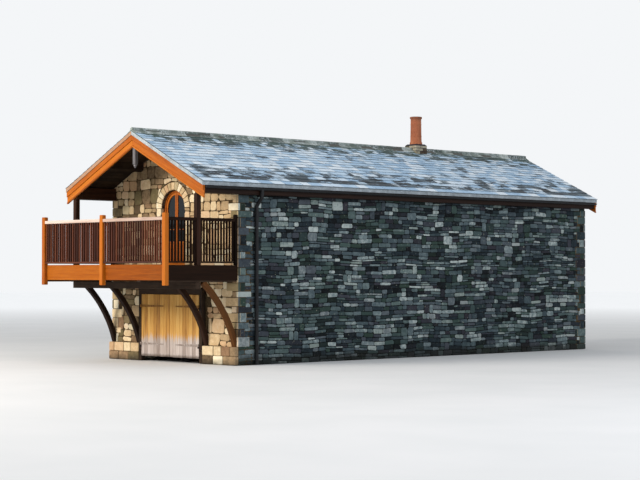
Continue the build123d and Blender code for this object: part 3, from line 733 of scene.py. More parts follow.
roof_timbers, dice = Shape(), Random("purlins")
for low, high in solids_of("purlins"):
    side = 1 if low.x > 0 else -1
    middle = (low.x + high.x) / 2
    tilt = Vector((1.0, 0.0, -side * pitch_fall))
    level = apex - abs(middle) * pitch_fall - PURLIN_DEPTH / 2 - PURLIN_GAP
    run = high.y - low.y
    path = [Vector((middle, low.y + run * number / 12, level)) for number in range(13)]
    timber(roof_timbers, path, tilt, AXES["z"], high.x - low.x, PURLIN_DEPTH, dice, ease=0.008)
low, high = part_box("ridge_beam")
beam_high = (high.x, high.y, high.z - RIDGE_BEAM_DROP)
board(roof_timbers, low, beam_high, "y", dice, spacing=1.4, ease=0.008)
roof_timbers.finish(
    "roof_timbers", dark_timber, "dark_timber", replaces=["purlins", "ridge_beam"]
)
# The eaves board's brown paint is darkened to near black, as painted shade under the eaves.
painted = ("130B08", "23150F", "332018")
brown_paint = wood("brown_paint", painted, 0.5, streaks=0.6, gloss=0.12)
eaves_nodes = ["eaves_board_left", "eaves_board_right"]
eaves.finish("eaves_fascia_boards", brown_paint, "brown_paint", replaces=eaves_nodes)

# %% [markdown]
# The walls are rubble: flat stones of every size, bedded level and fitted by eye. We lay them
# the same way. A wall is filled with rough courses; a course is split into one large stone
# or into two or three thinner layers, and each layer is broken at its own places, so that
# upright joints never line up for long. A slow wave bends the courses a little. Each stone
# is then cut to what it meets: a slope of the roof, a doorway or an arch.

# %% Courses of rubble
JOINT = 0.015
COURSE = (0.15, 0.27)
TALL_COURSE = 0.19
SHORTEST_END = 0.14


def course_wave(u, v):
    return v + 0.016 * math.sin(u * 1.9 + v * 0.8) + 0.009 * math.sin(u * 4.7 - v * 1.3)


def rubble_tiles(width, height, dice, course_range=COURSE, size=1.0, base=0.0):
    """Rectangles that fill a wall without gaps, in rough and broken courses."""
    longest = 0.52 if size == 1.0 else 0.40
    level = base
    while level < height:
        course = dice.uniform(*course_range)
        u = -dice.uniform(0.0, 0.3)
        while u < width:
            split_finely = course > TALL_COURSE * size and size == 1.0
            layers = dice.choice((1, 2, 2, 2, 3) if split_finely else (1, 1, 2))
            run = dice.uniform(0.18, 0.42) * size if layers == 1 else dice.uniform(0.5, 1.2)
            cuts = sorted(dice.uniform(0.8, 1.2) * number / layers for number in range(1, layers))
            heights = [0.0, *cuts, 1.0]
            for low, high in zip(heights, heights[1:]):
                place = u
                while place < u + run - 0.01:
                    length = dice.uniform(0.16, longest) * (1.0 if layers > 1 else size)
                    if u + run - place - length < SHORTEST_END:
                        length = u + run - place
                    yield place, level + low * course, place + length, level + high * course
                    place += length
            u += run
        level += course


print("tiles in a trial wall of 5 m by 2 m:", len(list(rubble_tiles(5.0, 2.0, Random("trial")))))

# %% Shaping and cutting one stone
def rough_outline(tile, dice, rough=1.0):
    """The eight-sided outline of one stone, with knocked-off corners."""
    u0, v0, u1, v1 = tile
    u0, v0, u1, v1 = u0 + JOINT / 2, v0 + JOINT / 2, u1 - JOINT / 2, v1 - JOINT / 2
    wide, high = u1 - u0, v1 - v0
    points = []
    for corner_u, corner_v, order in ((u0, v0, 0), (u1, v0, 1), (u1, v1, 0), (u0, v1, 1)):
        cut_u = dice.uniform(0.04, 0.22) * rough * min(wide, 0.25) * (1 if corner_u == u0 else -1)
        cut_v = dice.uniform(0.06, 0.34) * rough * high * (1 if corner_v == v0 else -1)
        pair = [(corner_u, corner_v + cut_v), (corner_u + cut_u, corner_v)]
        points += pair if order == 0 else pair[::-1]
    slip = 0.006 * rough
    slipped = [(u + dice.uniform(-slip, slip), v + dice.uniform(-slip, slip)) for u, v in points]
    return [(u, course_wave(u, v)) for u, v in slipped]


def cut_outline(outline, lines):
    """Keep the part of a convex outline on the inner side of each line (nu, nv, least)."""
    for nu, nv, least in lines:
        kept = []
        for (u, v), (next_u, next_v) in zip(outline, outline[1:] + outline[:1]):
            here, there = nu * u + nv * v - least, nu * next_u + nv * next_v - least
            if here >= 0:
                kept.append((u, v))
            if here * there < 0:
                share = here / (here - there)
                kept.append((u + (next_u - u) * share, v + (next_v - v) * share))
        outline = kept
        if len(outline) < 3:
            return []
    return outline


def outline_area(outline):
    pairs = zip(outline, outline[1:] + outline[:1])
    return sum(u * next_v - next_u * v for (u, v), (next_u, next_v) in pairs) / 2


trial = cut_outline(rough_outline((0.0, 0.0, 0.3, 0.15), Random("trial")), [(-1, 0, -0.2)])
print("a trial stone, cut:", len(trial), "corners,", round(outline_area(trial), 4), "square metres")

# %% [markdown]
# A bump can't give a stone an edge that throws a shadow. So each outline is raised into a
# body of three rings: a foot in the mortar, a worn shoulder, and a crown that tilts a little
# its own way, as hand-split stones do.

# %% Raising one stone from its outline
STONE_BED = -0.006
STONE_PROUD = 0.020


class Face:
    """A flat side of a wall: where it starts, and which way right, up and out are."""

    def __init__(self, origin, right, up, out):
        self.origin, self.right = Vector(origin), Vector(right)
        self.up, self.out = Vector(up), Vector(out)

    def point(self, u, v, depth):
        return self.origin + self.right * u + self.up * v + self.out * depth


def raise_stone(shape, face, outline, proud, dice, tone):
    """Give an outline a steep edge, a worn shoulder and a slightly domed, tilted face."""
    count = len(outline)
    middle_u = sum(u for u, v in outline) / count
    middle_v = sum(v for u, v in outline) / count
    tilt_u, tilt_v = dice.uniform(-0.02, 0.02), dice.uniform(-0.05, 0.05)
    rings = [[face.point(u, v, STONE_BED) for u, v in outline]]
    rings.append([face.point(u, v, proud * dice.uniform(0.35, 0.62)) for u, v in outline])
    crown = []
    for u, v in outline:
        reach = math.hypot(u - middle_u, v - middle_v)
        keep = 1 - min(0.35, dice.uniform(0.010, 0.020) / max(reach, 0.02))
        crown_u, crown_v = middle_u + (u - middle_u) * keep, middle_v + (v - middle_v) * keep
        lift = (crown_u - middle_u) * tilt_u + (crown_v - middle_v) * tilt_v
        lift += dice.uniform(-0.0025, 0.0015)
        crown.append(face.point(crown_u, crown_v, max(proud * 0.5, proud * 0.88 + lift)))
    rings.append(crown)
    points = [point for ring in rings for point in ring] + [face.point(middle_u, middle_v, proud)]
    faces = []
    for level in (0, 1):
        for number in range(count):
            a, b = level * count + number, level * count + (number + 1) % count
            faces.append([a, b, b + count, a + count])
    top = 2 * count
    faces += [[top + number, top + (number + 1) % count, 3 * count] for number in range(count)]
    shape.add(points, faces, None, tone)


print("stones stand up to", STONE_PROUD, "m proud of the wall")

# %% Laying rubble
def no_painted_light(u, v):
    """The least lightness of the stones at a place, and a share of the hues, which paint light and
    shade into them: none here.
    """
    return 0.0, 1.0


def lay_rubble(
    shape, face, extent, allow, dice, painted_sun, smallest=0.0035, rough=1.0, painted_light_at=no_painted_light, **style
):
    """Fill a face, whose extent is (width, height), with stones.

    Allow(tile) says which lines cut a tile, or None to leave it out. The painted light at (u, v)
    comes from a function like the one above.
    """
    laid = 0
    for tile in rubble_tiles(*extent, dice, **style):
        lines = allow(tile)
        if lines is None:
            continue
        outline = cut_outline(rough_outline(tile, dice, rough), lines)
        if len(outline) < 3 or outline_area(outline) < smallest:
            continue
        least, hues = painted_light_at((tile[0] + tile[2]) / 2, (tile[1] + tile[3]) / 2)
        tone = (least + (1 - least) * dice.random(), hues * dice.random(), painted_sun)
        raise_stone(shape, face, outline, STONE_PROUD * dice.uniform(0.72, 1.0), dice, tone)
        laid += 1
    return laid


print("rubble is laid with joints of", JOINT, "m")

# %% [markdown]
# Corners are different. There the mason sets long squared blocks, the quoins, that turn the
# corner with a long leg and a short leg by turns and lock the two walls together. They are
# whole bodies here, bevelled on every edge. The low sun lights the gable and leaves the long
# sides in shade, and this is painted into the stone: each face of a quoin gets the painted
# sunlight or the painted shade of the wall it is in.

# %% Squared blocks for corners
def squared_block(shape, low, high, dice, painted_sun_of, ease=0.014):
    """A bevelled block; the given function tells, for the direction a face looks in, its share of
    painted sunlight.
    """
    low, high = Vector(low), Vector(high)
    centre, half = (low + high) / 2, (high - low) / 2
    ease = min(ease, *(number * 0.4 for number in half))
    index, points = {}, []
    for signs in product((-1, 1), repeat=3):
        for axis in range(3):
            corner = Vector([sign * number for sign, number in zip(signs, half)])
            for other in range(3):
                if other != axis:
                    corner[other] -= math.copysign(ease * dice.uniform(0.6, 1.0), corner[other])
            index[(*signs, axis)] = len(points)
            points.append(centre + corner)
    faces, looks = [], []

    def face(keys, look):
        a, b, c, *rest = [index[key] for key in keys]
        normal = (points[b] - points[a]).cross(points[c] - points[b])
        corners = [a, b, c, *rest]
        faces.append(corners if normal.dot(Vector(look)) > 0 else corners[::-1])
        looks.append(look)

    for axis in range(3):
        b, c = [other for other in range(3) if other != axis]

        def towards(along, u, v, axis=axis, b=b, c=c):
            """The direction with these signs along the axis and along the other two."""
            signs = [0, 0, 0]
            signs[axis], signs[b], signs[c] = along, u, v
            return tuple(signs)

        for sign in (-1, 1):
            face([(*towards(sign, u, v), axis) for u, v in SQUARE], towards(sign, 0, 0))
        for u, v in SQUARE:
            near, far = towards(-1, u, v), towards(1, u, v)
            face([(*near, b), (*far, b), (*far, c), (*near, c)], towards(0, u, v))
    for signs in product((-1, 1), repeat=3):
        face([(*signs, 0), (*signs, 1), (*signs, 2)], signs)
    lightness, hue = dice.random(), dice.random()
    shape.add(points, faces, None, [(lightness, hue, painted_sun_of(look)) for look in looks])


trial = Shape()
squared_block(trial, (0, 0, 0), (0.4, 0.2, 0.2), Random("trial"), lambda look: 0.0)
print("a block has", len(trial.points), "corners and", len(trial.faces), "faces")

# %% [markdown]
# One finish serves every stone. The first tone number picks a place on a ramp from dark to
# light, the second leans the stone towards a dull green or a warm rust, and the third is
# painted light: at 1 the stone takes the golden colour of the sunlit gable, at 0 the cold dark
# grey of the long walls in shade, though it is the same rock. Fine noise makes the grain, a
# slow one the stains, and at the foot of the walls everything is damp, dark and a little
# glossy, higher up on the shaded sides than on the gable.

# %% Stone finish
DAMP_START, DAMP_END = 0.02, 0.18


def damp_foot(recipe, colour, sunny):
    """Darken a colour towards the foot, less where the sun dries it; also say how wet it is."""
    place = recipe.place()
    height = recipe.axes(place)["Z"]
    ragged = recipe.math("MULTIPLY_ADD", recipe.noise(place, 5.0, 3.0), -0.22, height)
    ragged = recipe.math("MULTIPLY_ADD", sunny, 0.13, ragged)
    wet = recipe.span(ragged, DAMP_START, DAMP_END, 0.75, 0.0)
    return recipe.blend(wet, colour, shade("14150F")), wet


def stone_finish(name, roughness):
    material, recipe = new_material(name, gloss=0.15)
    tone, place = recipe.tone(), recipe.place()
    fine = recipe.noise(place, 42.0, 6.0, 0.65)
    mottle = recipe.noise(place, 9.0, 5.0, 0.6, 0.4)
    level = recipe.sway(fine, 0.35, recipe.sway(mottle, 0.55, tone[0]))
    # Painted light: the golden ramp is the stone in painted sunlight, the slate grey one in painted
    # shade.
    shaded_ramp = [(0.0, "0B0F12"), (0.3, "242F36"), (0.62, "46545A"), (0.86, "6F7E81")]
    sunlit_ramp = [(0.0, "5E4E3A"), (0.3, "A08767"), (0.6, "D0B48B"), (0.85, "EAD6B0")]
    shaded_stone = recipe.ramp(level, shaded_ramp + [(1.0, "ADB7B5")])
    sunlit_stone = recipe.ramp(level, sunlit_ramp + [(1.0, "F6EACD")])
    shaded_stone = recipe.blend(recipe.span(tone[1], 0.55, 1.0, 0.0, 0.55), shaded_stone, shade("3E5348"))
    shaded_stone = recipe.blend(recipe.span(tone[1], 0.30, 0.0, 0.0, 0.45), shaded_stone, shade("4A4650"))
    sunlit_stone = recipe.blend(recipe.span(tone[1], 0.6, 1.0, 0.0, 0.5), sunlit_stone, shade("7C7650"))
    sunlit_stone = recipe.blend(recipe.span(tone[1], 0.25, 0.0, 0.0, 0.45), sunlit_stone, shade("CC9A74"))
    colour = recipe.blend(tone[2], shaded_stone, sunlit_stone)
    speckle = recipe.span(recipe.noise(place, 15.0, 4.0, 0.7), 0.63, 0.70, 0.0, 0.5)
    colour = recipe.blend(speckle, colour, shade("B9BEA8"))
    colour, wet = damp_foot(recipe, colour, tone[2])
    relief = recipe.math("MULTIPLY_ADD", fine, 0.4, mottle)
    rough = recipe.span(wet, 0.0, 0.75, roughness, roughness - 0.4)
    recipe.dress(colour, relief, 0.55, 0.012, rough)
    return material


rubble = stone_finish("rubble_stone", 0.85)
print("stone finish made")

# %% [markdown]
# Between the stones lies mortar, and behind them the solid wall of the frame. Its outer faces
# get the mortar's colour, deep and dark: near black on the long walls as painted shade, and
# golden brown on the gable as painted sunlight. Its inner faces, which one sees through the
# open boat doors, have no single stones, so there the finish draws walling of its own: a cell
# pattern for the stones and its edges for the joints.

# %% Mortar finish
def mortar_finish(name, bed, inner, outer_planes, sunny):
    """Deep joints outside, and plain rubble walling inside, where no single stone is laid.

    Outer_planes lists (axis, sign, place): beyond each of them the wall is an outer face.
    """
    material, recipe = new_material(name, roughness=0.95, gloss=0.10)
    place = recipe.place()
    axes = recipe.axes(place)
    bedded = recipe.stretch(place, (3.2, 3.2, 8.5))
    pattern = {"Vector": bedded, "Scale": 1.0, "Randomness": 0.9}
    cells = recipe.add("ShaderNodeTexVoronoi", pattern)
    edges = recipe.add("ShaderNodeTexVoronoi", pattern, feature="DISTANCE_TO_EDGE")
    pick = recipe.add("ShaderNodeSeparateColor", {"Color": cells.outputs["Color"]}).outputs[0]
    grain = recipe.noise(place, 30.0, 5.0, 0.6)
    stones = recipe.ramp(recipe.sway(grain, 0.6, pick), [(0.0, inner[0]), (1.0, inner[1])])
    joint = recipe.span(edges.outputs["Distance"], 0.02, 0.07, 1.0, 0.0)
    inside = recipe.blend(joint, stones, shade("6E6A60"))
    lime = recipe.ramp(grain, [(0.3, bed[0]), (0.7, bed[1])])
    outer = None
    for axis, sign, limit in outer_planes:
        along = recipe.math("MULTIPLY", axes[axis], sign)
        beyond = recipe.math("GREATER_THAN", along, sign * limit - 0.012)
        outer = beyond if outer is None else recipe.math("MAXIMUM", outer, beyond)
    colour = damp_foot(recipe, recipe.blend(outer, inside, lime), sunny)[0]
    hollow = recipe.math("MULTIPLY", joint, 0.7)
    relief = recipe.math("SUBTRACT", recipe.math("MULTIPLY", grain, 0.3), hollow)
    recipe.dress(colour, relief, 0.6, 0.02)
    return material


def coat(material, *nodes):
    """Give nodes of the frame that keep their shape a better finish."""
    for node in nodes:
        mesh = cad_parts[node].data
        mesh.materials.clear()
        mesh.materials.append(material)
    print(material.name, "on", len(nodes), "pieces of the frame")


corner_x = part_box("side_wall_right")[1].x
rear_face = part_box("rear_wall")[1].y
side_planes = [("X", 1, corner_x), ("X", -1, -corner_x)]
all_planes = side_planes + [("Y", -1, wall_face), ("Y", 1, rear_face)]
# The dark bed and the cold inner walling are painted shade; the golden ones are painted sunlight.
shaded_bed, sunlit_bed = ("0E1012", "202324"), ("3A2F20", "5E4E38")
shaded_mortar = mortar_finish("shaded_mortar", shaded_bed, ("2C3336", "7C8480"), side_planes, 0.0)
sunlit_mortar = mortar_finish("sunlit_mortar", sunlit_bed, ("3A3A34", "8E8672"), all_planes, 1.0)
coat(shaded_mortar, "side_wall_left", "side_wall_right")
coat(sunlit_mortar, "front_wall_upper", "front_pier_left", "front_pier_right", "rear_wall")

# %% [markdown]
# The corners go up first, as they do on a real site, because the rubble is fitted between
# them. Each corner is a stack of quoins; the list of their legs tells the rubble where to stop.

# %% Courses of quoins
QUOIN_HEIGHTS = (0.15, 0.27)
LONG_LEG, SHORT_LEG = 0.42, 0.24
PROUD = 0.022
QUOIN_BED = 0.05
# The rear gable takes a little under half of the painted sunlight.
REAR_PAINTED_SUN = 0.45

eaves_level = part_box("eaves_board_right")[0].z
plinth_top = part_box("balcony_braces")[0].z


def quoin_stack(name, base):
    """Heights of one corner's quoins, each with its leg on the gable and on the side."""
    dice, rows, level, turn = Random(name), [], base, 0
    while level < eaves_level - 0.05:
        height = min(dice.uniform(*QUOIN_HEIGHTS), eaves_level - level)
        legs = (LONG_LEG, SHORT_LEG) if turn % 2 else (SHORT_LEG, LONG_LEG)
        legs = [leg * dice.uniform(0.85, 1.15) for leg in legs]
        rows.append((level, level + height, *legs))
        level += height
        turn += 1
    return rows


def leg_at(rows, level, which):
    for low, high, *legs in rows:
        if low <= level < high:
            return legs[which]
    return 0.0


def corner_painted_sun(on_gable):
    """Full painted sunlight on the gable, none on the long side (painted shade), and half
    elsewhere.
    """

    def painted_sun_of(look):
        facing = (bool(look[0]), bool(look[1]))
        return {(True, False): 0.0, (False, True): on_gable}.get(facing, on_gable * 0.5)

    return painted_sun_of


print("front quoins rise from", round(plinth_top, 3), "to", round(eaves_level, 3), "m")

# %% Quoins
corner_rows, quoins = {}, Shape()
for end, face_y, inward in (("front", wall_face, 1), ("rear", rear_face, -1)):
    painted_sun_of = corner_painted_sun(1.0 if end == "front" else REAR_PAINTED_SUN)
    for side in (-1, 1):
        name = f"{end}_{'right' if side > 0 else 'left'}"
        corner_rows[name] = quoin_stack(name, plinth_top if end == "front" else 0.0)
        dice = Random(name + "_blocks")
        for low, high, gable_leg, side_leg in corner_rows[name]:
            zs = (low + JOINT / 2, high - JOINT / 2)
            out_x, bed_x, leg_x = corner_x + PROUD, corner_x - QUOIN_BED, corner_x - gable_leg
            out_y, bed_y, leg_y = (face_y + inward * y for y in (-PROUD, QUOIN_BED, side_leg))
            if gable_leg > side_leg:
                main, rest = ((out_x, leg_x), (out_y, bed_y)), ((out_x, bed_x), (bed_y, leg_y))
            else:
                main, rest = ((out_x, bed_x), (out_y, leg_y)), ((bed_x, leg_x), (out_y, bed_y))
            for xs, ys in (main, rest):
                block = box_of(on_side(side, *xs), sorted(ys), zs)
                squared_block(quoins, *block, dice, painted_sun_of)
quoins.finish("corner_quoins", rubble, "rubble_stone")

# %% [markdown]
# The two long walls are the simplest: nothing but rubble between the quoins. They get about
# two thousand stones each, which is why the stones are built as one mesh and not as objects.

# %% Rubble of the long walls
SLIVER = 0.06
FOOT_GAP = 0.004

wall_run = rear_face - wall_face
for side, name in ((1, "right"), (-1, "left")):
    start_y = wall_face if side > 0 else rear_face
    face = Face((side * corner_x, start_y, 0.0), (0, side, 0), (0, 0, 1), (side, 0, 0))
    near, far = ("front_", "rear_") if side > 0 else ("rear_", "front_")
    near, far = corner_rows[near + name], corner_rows[far + name]

    def allow(tile, near=near, far=far):
        level = (tile[1] + tile[3]) / 2
        first = leg_at(near, level, 1) + JOINT / 2
        last = wall_run - leg_at(far, level, 1) - JOINT / 2
        beside = tile[2] < first + SLIVER or tile[0] > last - SLIVER
        if beside or tile[1] > eaves_level - SLIVER / 2:
            return None
        return [(1, 0, first), (-1, 0, -last), (0, 1, FOOT_GAP), (0, -1, -eaves_level)]

    stones, dice = Shape(), Random("rubble_" + name)
    # The long walls take no painted sunlight: their stones get the cold dark colours of painted
    # shade.
    laid = lay_rubble(stones, face, (wall_run, eaves_level), allow, dice, 0.0)
    stones.finish(f"side_rubble_{name}", rubble, "rubble_stone")
    print("stones in the", name, "wall:", laid)

# %% [markdown]
# A gable is a wall with a slope on each side and an opening in the middle. The rubble is cut
# to the roof line, to the quoins and to a ring round the opening. A round arch needs wedge
# stones, the voussoirs: each one is the outline between two radii and two angles. Squared
# stones, the jambs, stand under the arch, and their inner ends show as the reveal.

# %% Lines round an arched opening
ARCH_HALF = 0.50
RING = 0.23
RING_CLEAR = ARCH_HALF + RING + JOINT / 2
RING_SLIVER = 0.08
BESIDE_ARCH = 0.6

arch_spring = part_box("arched_door_frame")[1].z - ARCH_HALF
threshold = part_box("arched_door_frame")[0].z
window_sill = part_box("rear_window_frame")[0].z
door_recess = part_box("arched_door_frame")[0].y - wall_face


def around_arch(tile, centre, sill):
    """Lines that keep a tile off the ring of an arched opening, or None inside it."""
    u, v = (tile[0] + tile[2]) / 2 - centre, (tile[1] + tile[3]) / 2
    below = v < sill - RING * 0.7
    if below or abs(u) > RING_CLEAR + BESIDE_ARCH:
        return [(0, -1, -sill)] if below and tile[3] >= sill else []
    if v > arch_spring:
        distance = math.hypot(u, v - arch_spring)
        if distance < RING_CLEAR - RING_SLIVER:
            return None
        nu, nv = u / distance, (v - arch_spring) / distance
        return [(nu, nv, nu * centre + nv * arch_spring + RING_CLEAR)]
    if abs(u) < RING_CLEAR - RING_SLIVER:
        return None
    return [(math.copysign(1, u), 0, math.copysign(1, u) * centre + RING_CLEAR)]


print("both arches spring at", round(arch_spring, 3), "m; their ring is", RING, "m wide")

# %% Voussoirs, jambs and reveals
ARCH_STONES = 13
DRESSED_PROUD = 0.026
REVEAL_PROUD = 0.008
JAMB_HEIGHTS = (0.15, 0.26)
SHORTEST_JAMB = 0.08


def dressed_opening(shape, face, centre, sill, dice, painted_sun):
    """Voussoirs over an arched opening and jamb stones beside it."""
    step = math.pi / ARCH_STONES
    for number in range(ARCH_STONES):
        low, high = step * number, step * (number + 1)
        reach = ARCH_HALF + RING * dice.uniform(0.86, 1.0)
        gap_in, gap_out = JOINT / 2 / ARCH_HALF, JOINT / 2 / reach
        ring = [(ARCH_HALF, low + gap_in), (reach, low + gap_out), (reach, (low + high) / 2)]
        ring += [(reach, high - gap_out), (ARCH_HALF, high - gap_in), (ARCH_HALF, (low + high) / 2)]
        outline = [(centre + r * math.cos(a), arch_spring + r * math.sin(a)) for r, a in ring]
        tone = (dice.uniform(0.5, 1), dice.random(), painted_sun)
        raise_stone(shape, face, outline, DRESSED_PROUD, dice, tone)
    for side in (-1, 1):
        level = sill
        while level < arch_spring - 0.05:
            height = min(dice.uniform(*JAMB_HEIGHTS), arch_spring - level)
            if arch_spring - level - height < SHORTEST_JAMB:
                height = arch_spring - level
            outer = ARCH_HALF + RING * dice.uniform(0.9, 1.0)
            us = sorted((centre + side * ARCH_HALF, centre + side * outer))
            outline = rough_outline((us[0], level, us[1], level + height), dice)
            outline = cut_outline(outline, [(side, 0, side * centre + ARCH_HALF)])
            tone = (dice.uniform(0.4, 1), dice.random(), painted_sun)
            raise_stone(shape, face, outline, DRESSED_PROUD, dice, tone)
            level += height


def reveal_stones(shape, face_y, inward, sill, dice, painted_sun):
    """The ends of the jamb stones, which line an opening up to its frame."""
    for side in (-1, 1):
        turned_in = Face((side * ARCH_HALF, face_y, 0), (0, -side, 0), (0, 0, 1), (-side, 0, 0))
        us = sorted((0.0, -side * inward * door_recess))
        level = sill
        while level < arch_spring - 0.02:
            height = min(dice.uniform(*JAMB_HEIGHTS), arch_spring - level)
            outline = rough_outline((us[0], level, us[1], level + height), dice)
            tone = (dice.uniform(0.3, 0.9), dice.random(), painted_sun)
            raise_stone(shape, turned_in, outline, REVEAL_PROUD, dice, tone)
            level += height


print("each arch is turned with", ARCH_STONES, "wedge stones")

# %% Lines that bound the gables
UNDER_SLATES = 0.012

doorway_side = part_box("boat_door_posts")[1].x
doorway_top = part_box("boat_door_head")[1].z
gable_lines = [(1, 0, 0.0), (-1, 0, -2 * corner_x)]
for slope in (1, -1):
    ridge_line = UNDER_SLATES - apex - slope * pitch_fall * corner_x
    gable_lines.append((-slope * pitch_fall, -1, ridge_line))


def beside_quoins(left, right, level):
    """Lines that keep a tile off the quoins of the two corners, as seen from outside."""
    lines = []
    for name, side in ((left, 1), (right, -1)):
        leg = leg_at(corner_rows[name], level, 0)
        if leg:
            limit = leg + JOINT / 2 if side > 0 else 2 * corner_x - leg - JOINT / 2
            lines.append((side, 0, side * limit))
    return lines


print("boat opening:", round(2 * doorway_side, 3), "m wide,", round(doorway_top, 3), "m high")

# %% What cuts a tile of a gable
def front_allow(tile):
    left, bottom, right, top = tile
    u, v = (left + right) / 2 - corner_x, (bottom + top) / 2
    lines = list(gable_lines)
    ring = around_arch(tile, corner_x, threshold)
    if v < plinth_top or ring is None:
        return None
    if v < doorway_top:
        if abs(u) < doorway_side:
            return None
        side = math.copysign(1, u)
        lines += [(side, 0, side * corner_x + doorway_side), (0, 1, plinth_top)]
    elif left - corner_x < doorway_side and right - corner_x > -doorway_side:
        lines.append((0, 1, doorway_top))
    return lines + beside_quoins("front_left", "front_right", v) + ring


def pier_allow(tile):
    lines = front_allow((tile[0], tile[1], tile[2], min(tile[3], doorway_top)))
    return None if lines is None else lines + [(0, -1, -doorway_top)]


def rear_allow(tile):
    ring = around_arch(tile, corner_x, window_sill)
    if ring is None:
        return None
    lines = beside_quoins("rear_right", "rear_left", (tile[1] + tile[3]) / 2)
    return gable_lines + lines + ring + [(0, 1, FOOT_GAP)]


print("a tile in the boat opening is left out:", front_allow((corner_x, 1.0, 3.0, 1.2)) is None)

# %% [markdown]
# On the front the stones are bigger, biggest of all in the piers beside the boat doors. Light
# and shade are painted into them as well: paler and rosier on the right, where the low sun
# falls, and a little darker on the left. The rear gable has the small flat stones of the
# long walls.

# %% The front gable
def front_painted_light(u, v):
    """Painted light: stones on the right of the gable are painted paler and rosier, on the left
    darker.
    """
    if v < doorway_top:
        return (0.40, 0.36) if u > corner_x else (-0.10, 1.0)
    return (0.45, 0.7) if u > corner_x + 0.8 else (-0.06, 1.0)


# The gable takes the full share of painted sunlight, with painted light and shade by place.
front = Face((-corner_x, wall_face, 0.0), (1, 0, 0), (0, 0, 1), (0, -1, 0))
stones, dice, laid = Shape(), Random("front_rubble"), 0
piers = (doorway_top - 0.1, pier_allow, plinth_top, (0.26, 0.46), 1.7, 1.45)
upper = (apex, front_allow, doorway_top, (0.20, 0.40), 1.35, 1.3)
for top, allow, base, courses, size, rough in (piers, upper):
    style = {"base": base, "course_range": courses, "size": size, "rough": rough}
    style.update({"smallest": 0.003, "painted_light_at": front_painted_light})
    laid += lay_rubble(stones, front, (2 * corner_x, top), allow, dice, 1.0, **style)
dressed_opening(stones, front, corner_x, threshold, dice, 1.0)
reveal_stones(stones, wall_face, 1, threshold, dice, 1.0)
stones.finish("front_rubble", rubble, "rubble_stone")
print("stones in the front gable:", laid)

# %% The rear gable
SILL_WIDE = ARCH_HALF + 0.12
SILL_DEPTH = 0.11
SILL_PROUD = 0.05

rear = Face((corner_x, rear_face, 0.0), (-1, 0, 0), (0, 0, 1), (0, 1, 0))
stones, dice = Shape(), Random("rear_rubble")
gable_size = (2 * corner_x, apex)
laid = lay_rubble(stones, rear, gable_size, rear_allow, dice, REAR_PAINTED_SUN, smallest=0.003)
dressed_opening(stones, rear, corner_x, window_sill, dice, REAR_PAINTED_SUN)
reveal_stones(stones, rear_face, -1, window_sill, dice, REAR_PAINTED_SUN)
sill_low = (-SILL_WIDE, rear_face - door_recess, window_sill - SILL_DEPTH)
sill_high = (SILL_WIDE, rear_face + SILL_PROUD, window_sill + 0.004)
squared_block(stones, sill_low, sill_high, dice, lambda look: REAR_PAINTED_SUN)
stones.finish("rear_rubble", rubble, "rubble_stone")
print("stones in the rear gable:", laid)

# %% [markdown]
# The plinths that the braces stand on are two courses of big squared stones, painted pale
# above with nearly the full painted sunlight of the gable, and dark with damp at their foot.

# %% Plinth stones
PLINTH_PAINTED_SUN = 0.95
SHORTEST_PLINTH = 0.18

plinths, dice = Shape(), Random("plinths")
plinth_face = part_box("front_pier_right")[0].y
for side in (-1, 1):
    for low, high in ((0.004, plinth_top / 2), (plinth_top / 2, plinth_top + 0.012)):
        place = doorway_side
        while place < corner_x:
            length = dice.uniform(0.26, 0.50)
            if corner_x - place - length < SHORTEST_PLINTH:
                length = corner_x - place
            last = place + length >= corner_x
            end = corner_x + PROUD if last else place + length - JOINT / 2
            xs = on_side(side, place + JOINT / 2, end)
            ys = (plinth_face - PROUD * dice.uniform(0.6, 1.0), wall_face)
            block = box_of(xs, ys, (low, high - JOINT / 2))
            squared_block(plinths, *block, dice, lambda look: PLINTH_PAINTED_SUN, ease=0.022)
            place += length
plinths.finish("plinth_stones", rubble, "rubble_stone")

# %% [markdown]
# The frost makes this roof. Under it the slate is a dark blue grey; over it lies a pale blue
# bloom, nearly closed in the middle of the slope, broken into dark dashes lower down where
# the sun has reached, and thin near the ridge, where the slates have weathered green. The
# third tone number of a slate says how far up the slope it lies, so the finish can tell.

# %% Slate finish
slate_finish, recipe = new_material("roof_slate")
tone, place = recipe.tone(), recipe.place()
axes, up_the_slope = recipe.axes(place), tone[2]
patches = recipe.noise(recipe.stretch(place, (1.0, 0.45, 1.0)), 1.5, 4.0, 0.6)
dashes = recipe.noise(recipe.stretch(place, (7.0, 1.6, 7.0)), 1.0, 4.0, 0.65)
fine = recipe.noise(place, 26.0, 5.0, 0.65)
cleft = recipe.noise(recipe.stretch(place, (14.0, 60.0, 14.0)), 1.0, 3.0, 0.5)
level = recipe.sway(fine, 0.5, tone[0])
bare = recipe.ramp(level, [(0.0, "18222A"), (0.5, "33444F"), (1.0, "596C77")])
patchy = recipe.span(patches, 0.30, 0.55, 0.45, 1.0)
green = recipe.math("MULTIPLY", recipe.span(up_the_slope, 0.70, 0.92), patchy)
bare = recipe.blend(green, bare, shade("3F5650"))
cover = 0.42
for noise, amount in ((patches, 1.2), (tone[1], 0.62), (dashes, 2.2), (fine, 0.9)):
    cover = recipe.sway(noise, amount, cover)
thin_below, thin_above = (0.06, 0.40, -0.22, 0.34), (0.68, 0.95, 0.0, -0.74)
first_course = (0.035, 0.02, 0.0, 1.2)
for rule in (thin_below, thin_above, first_course):
    cover = recipe.math("ADD", cover, recipe.span(up_the_slope, *rule))
verge = recipe.span(axes["Y"], roof_low.y + 0.35, roof_low.y + 0.05, 0.0, 0.5)
frost = recipe.span(recipe.math("ADD", cover, verge), 0.20, 0.50)
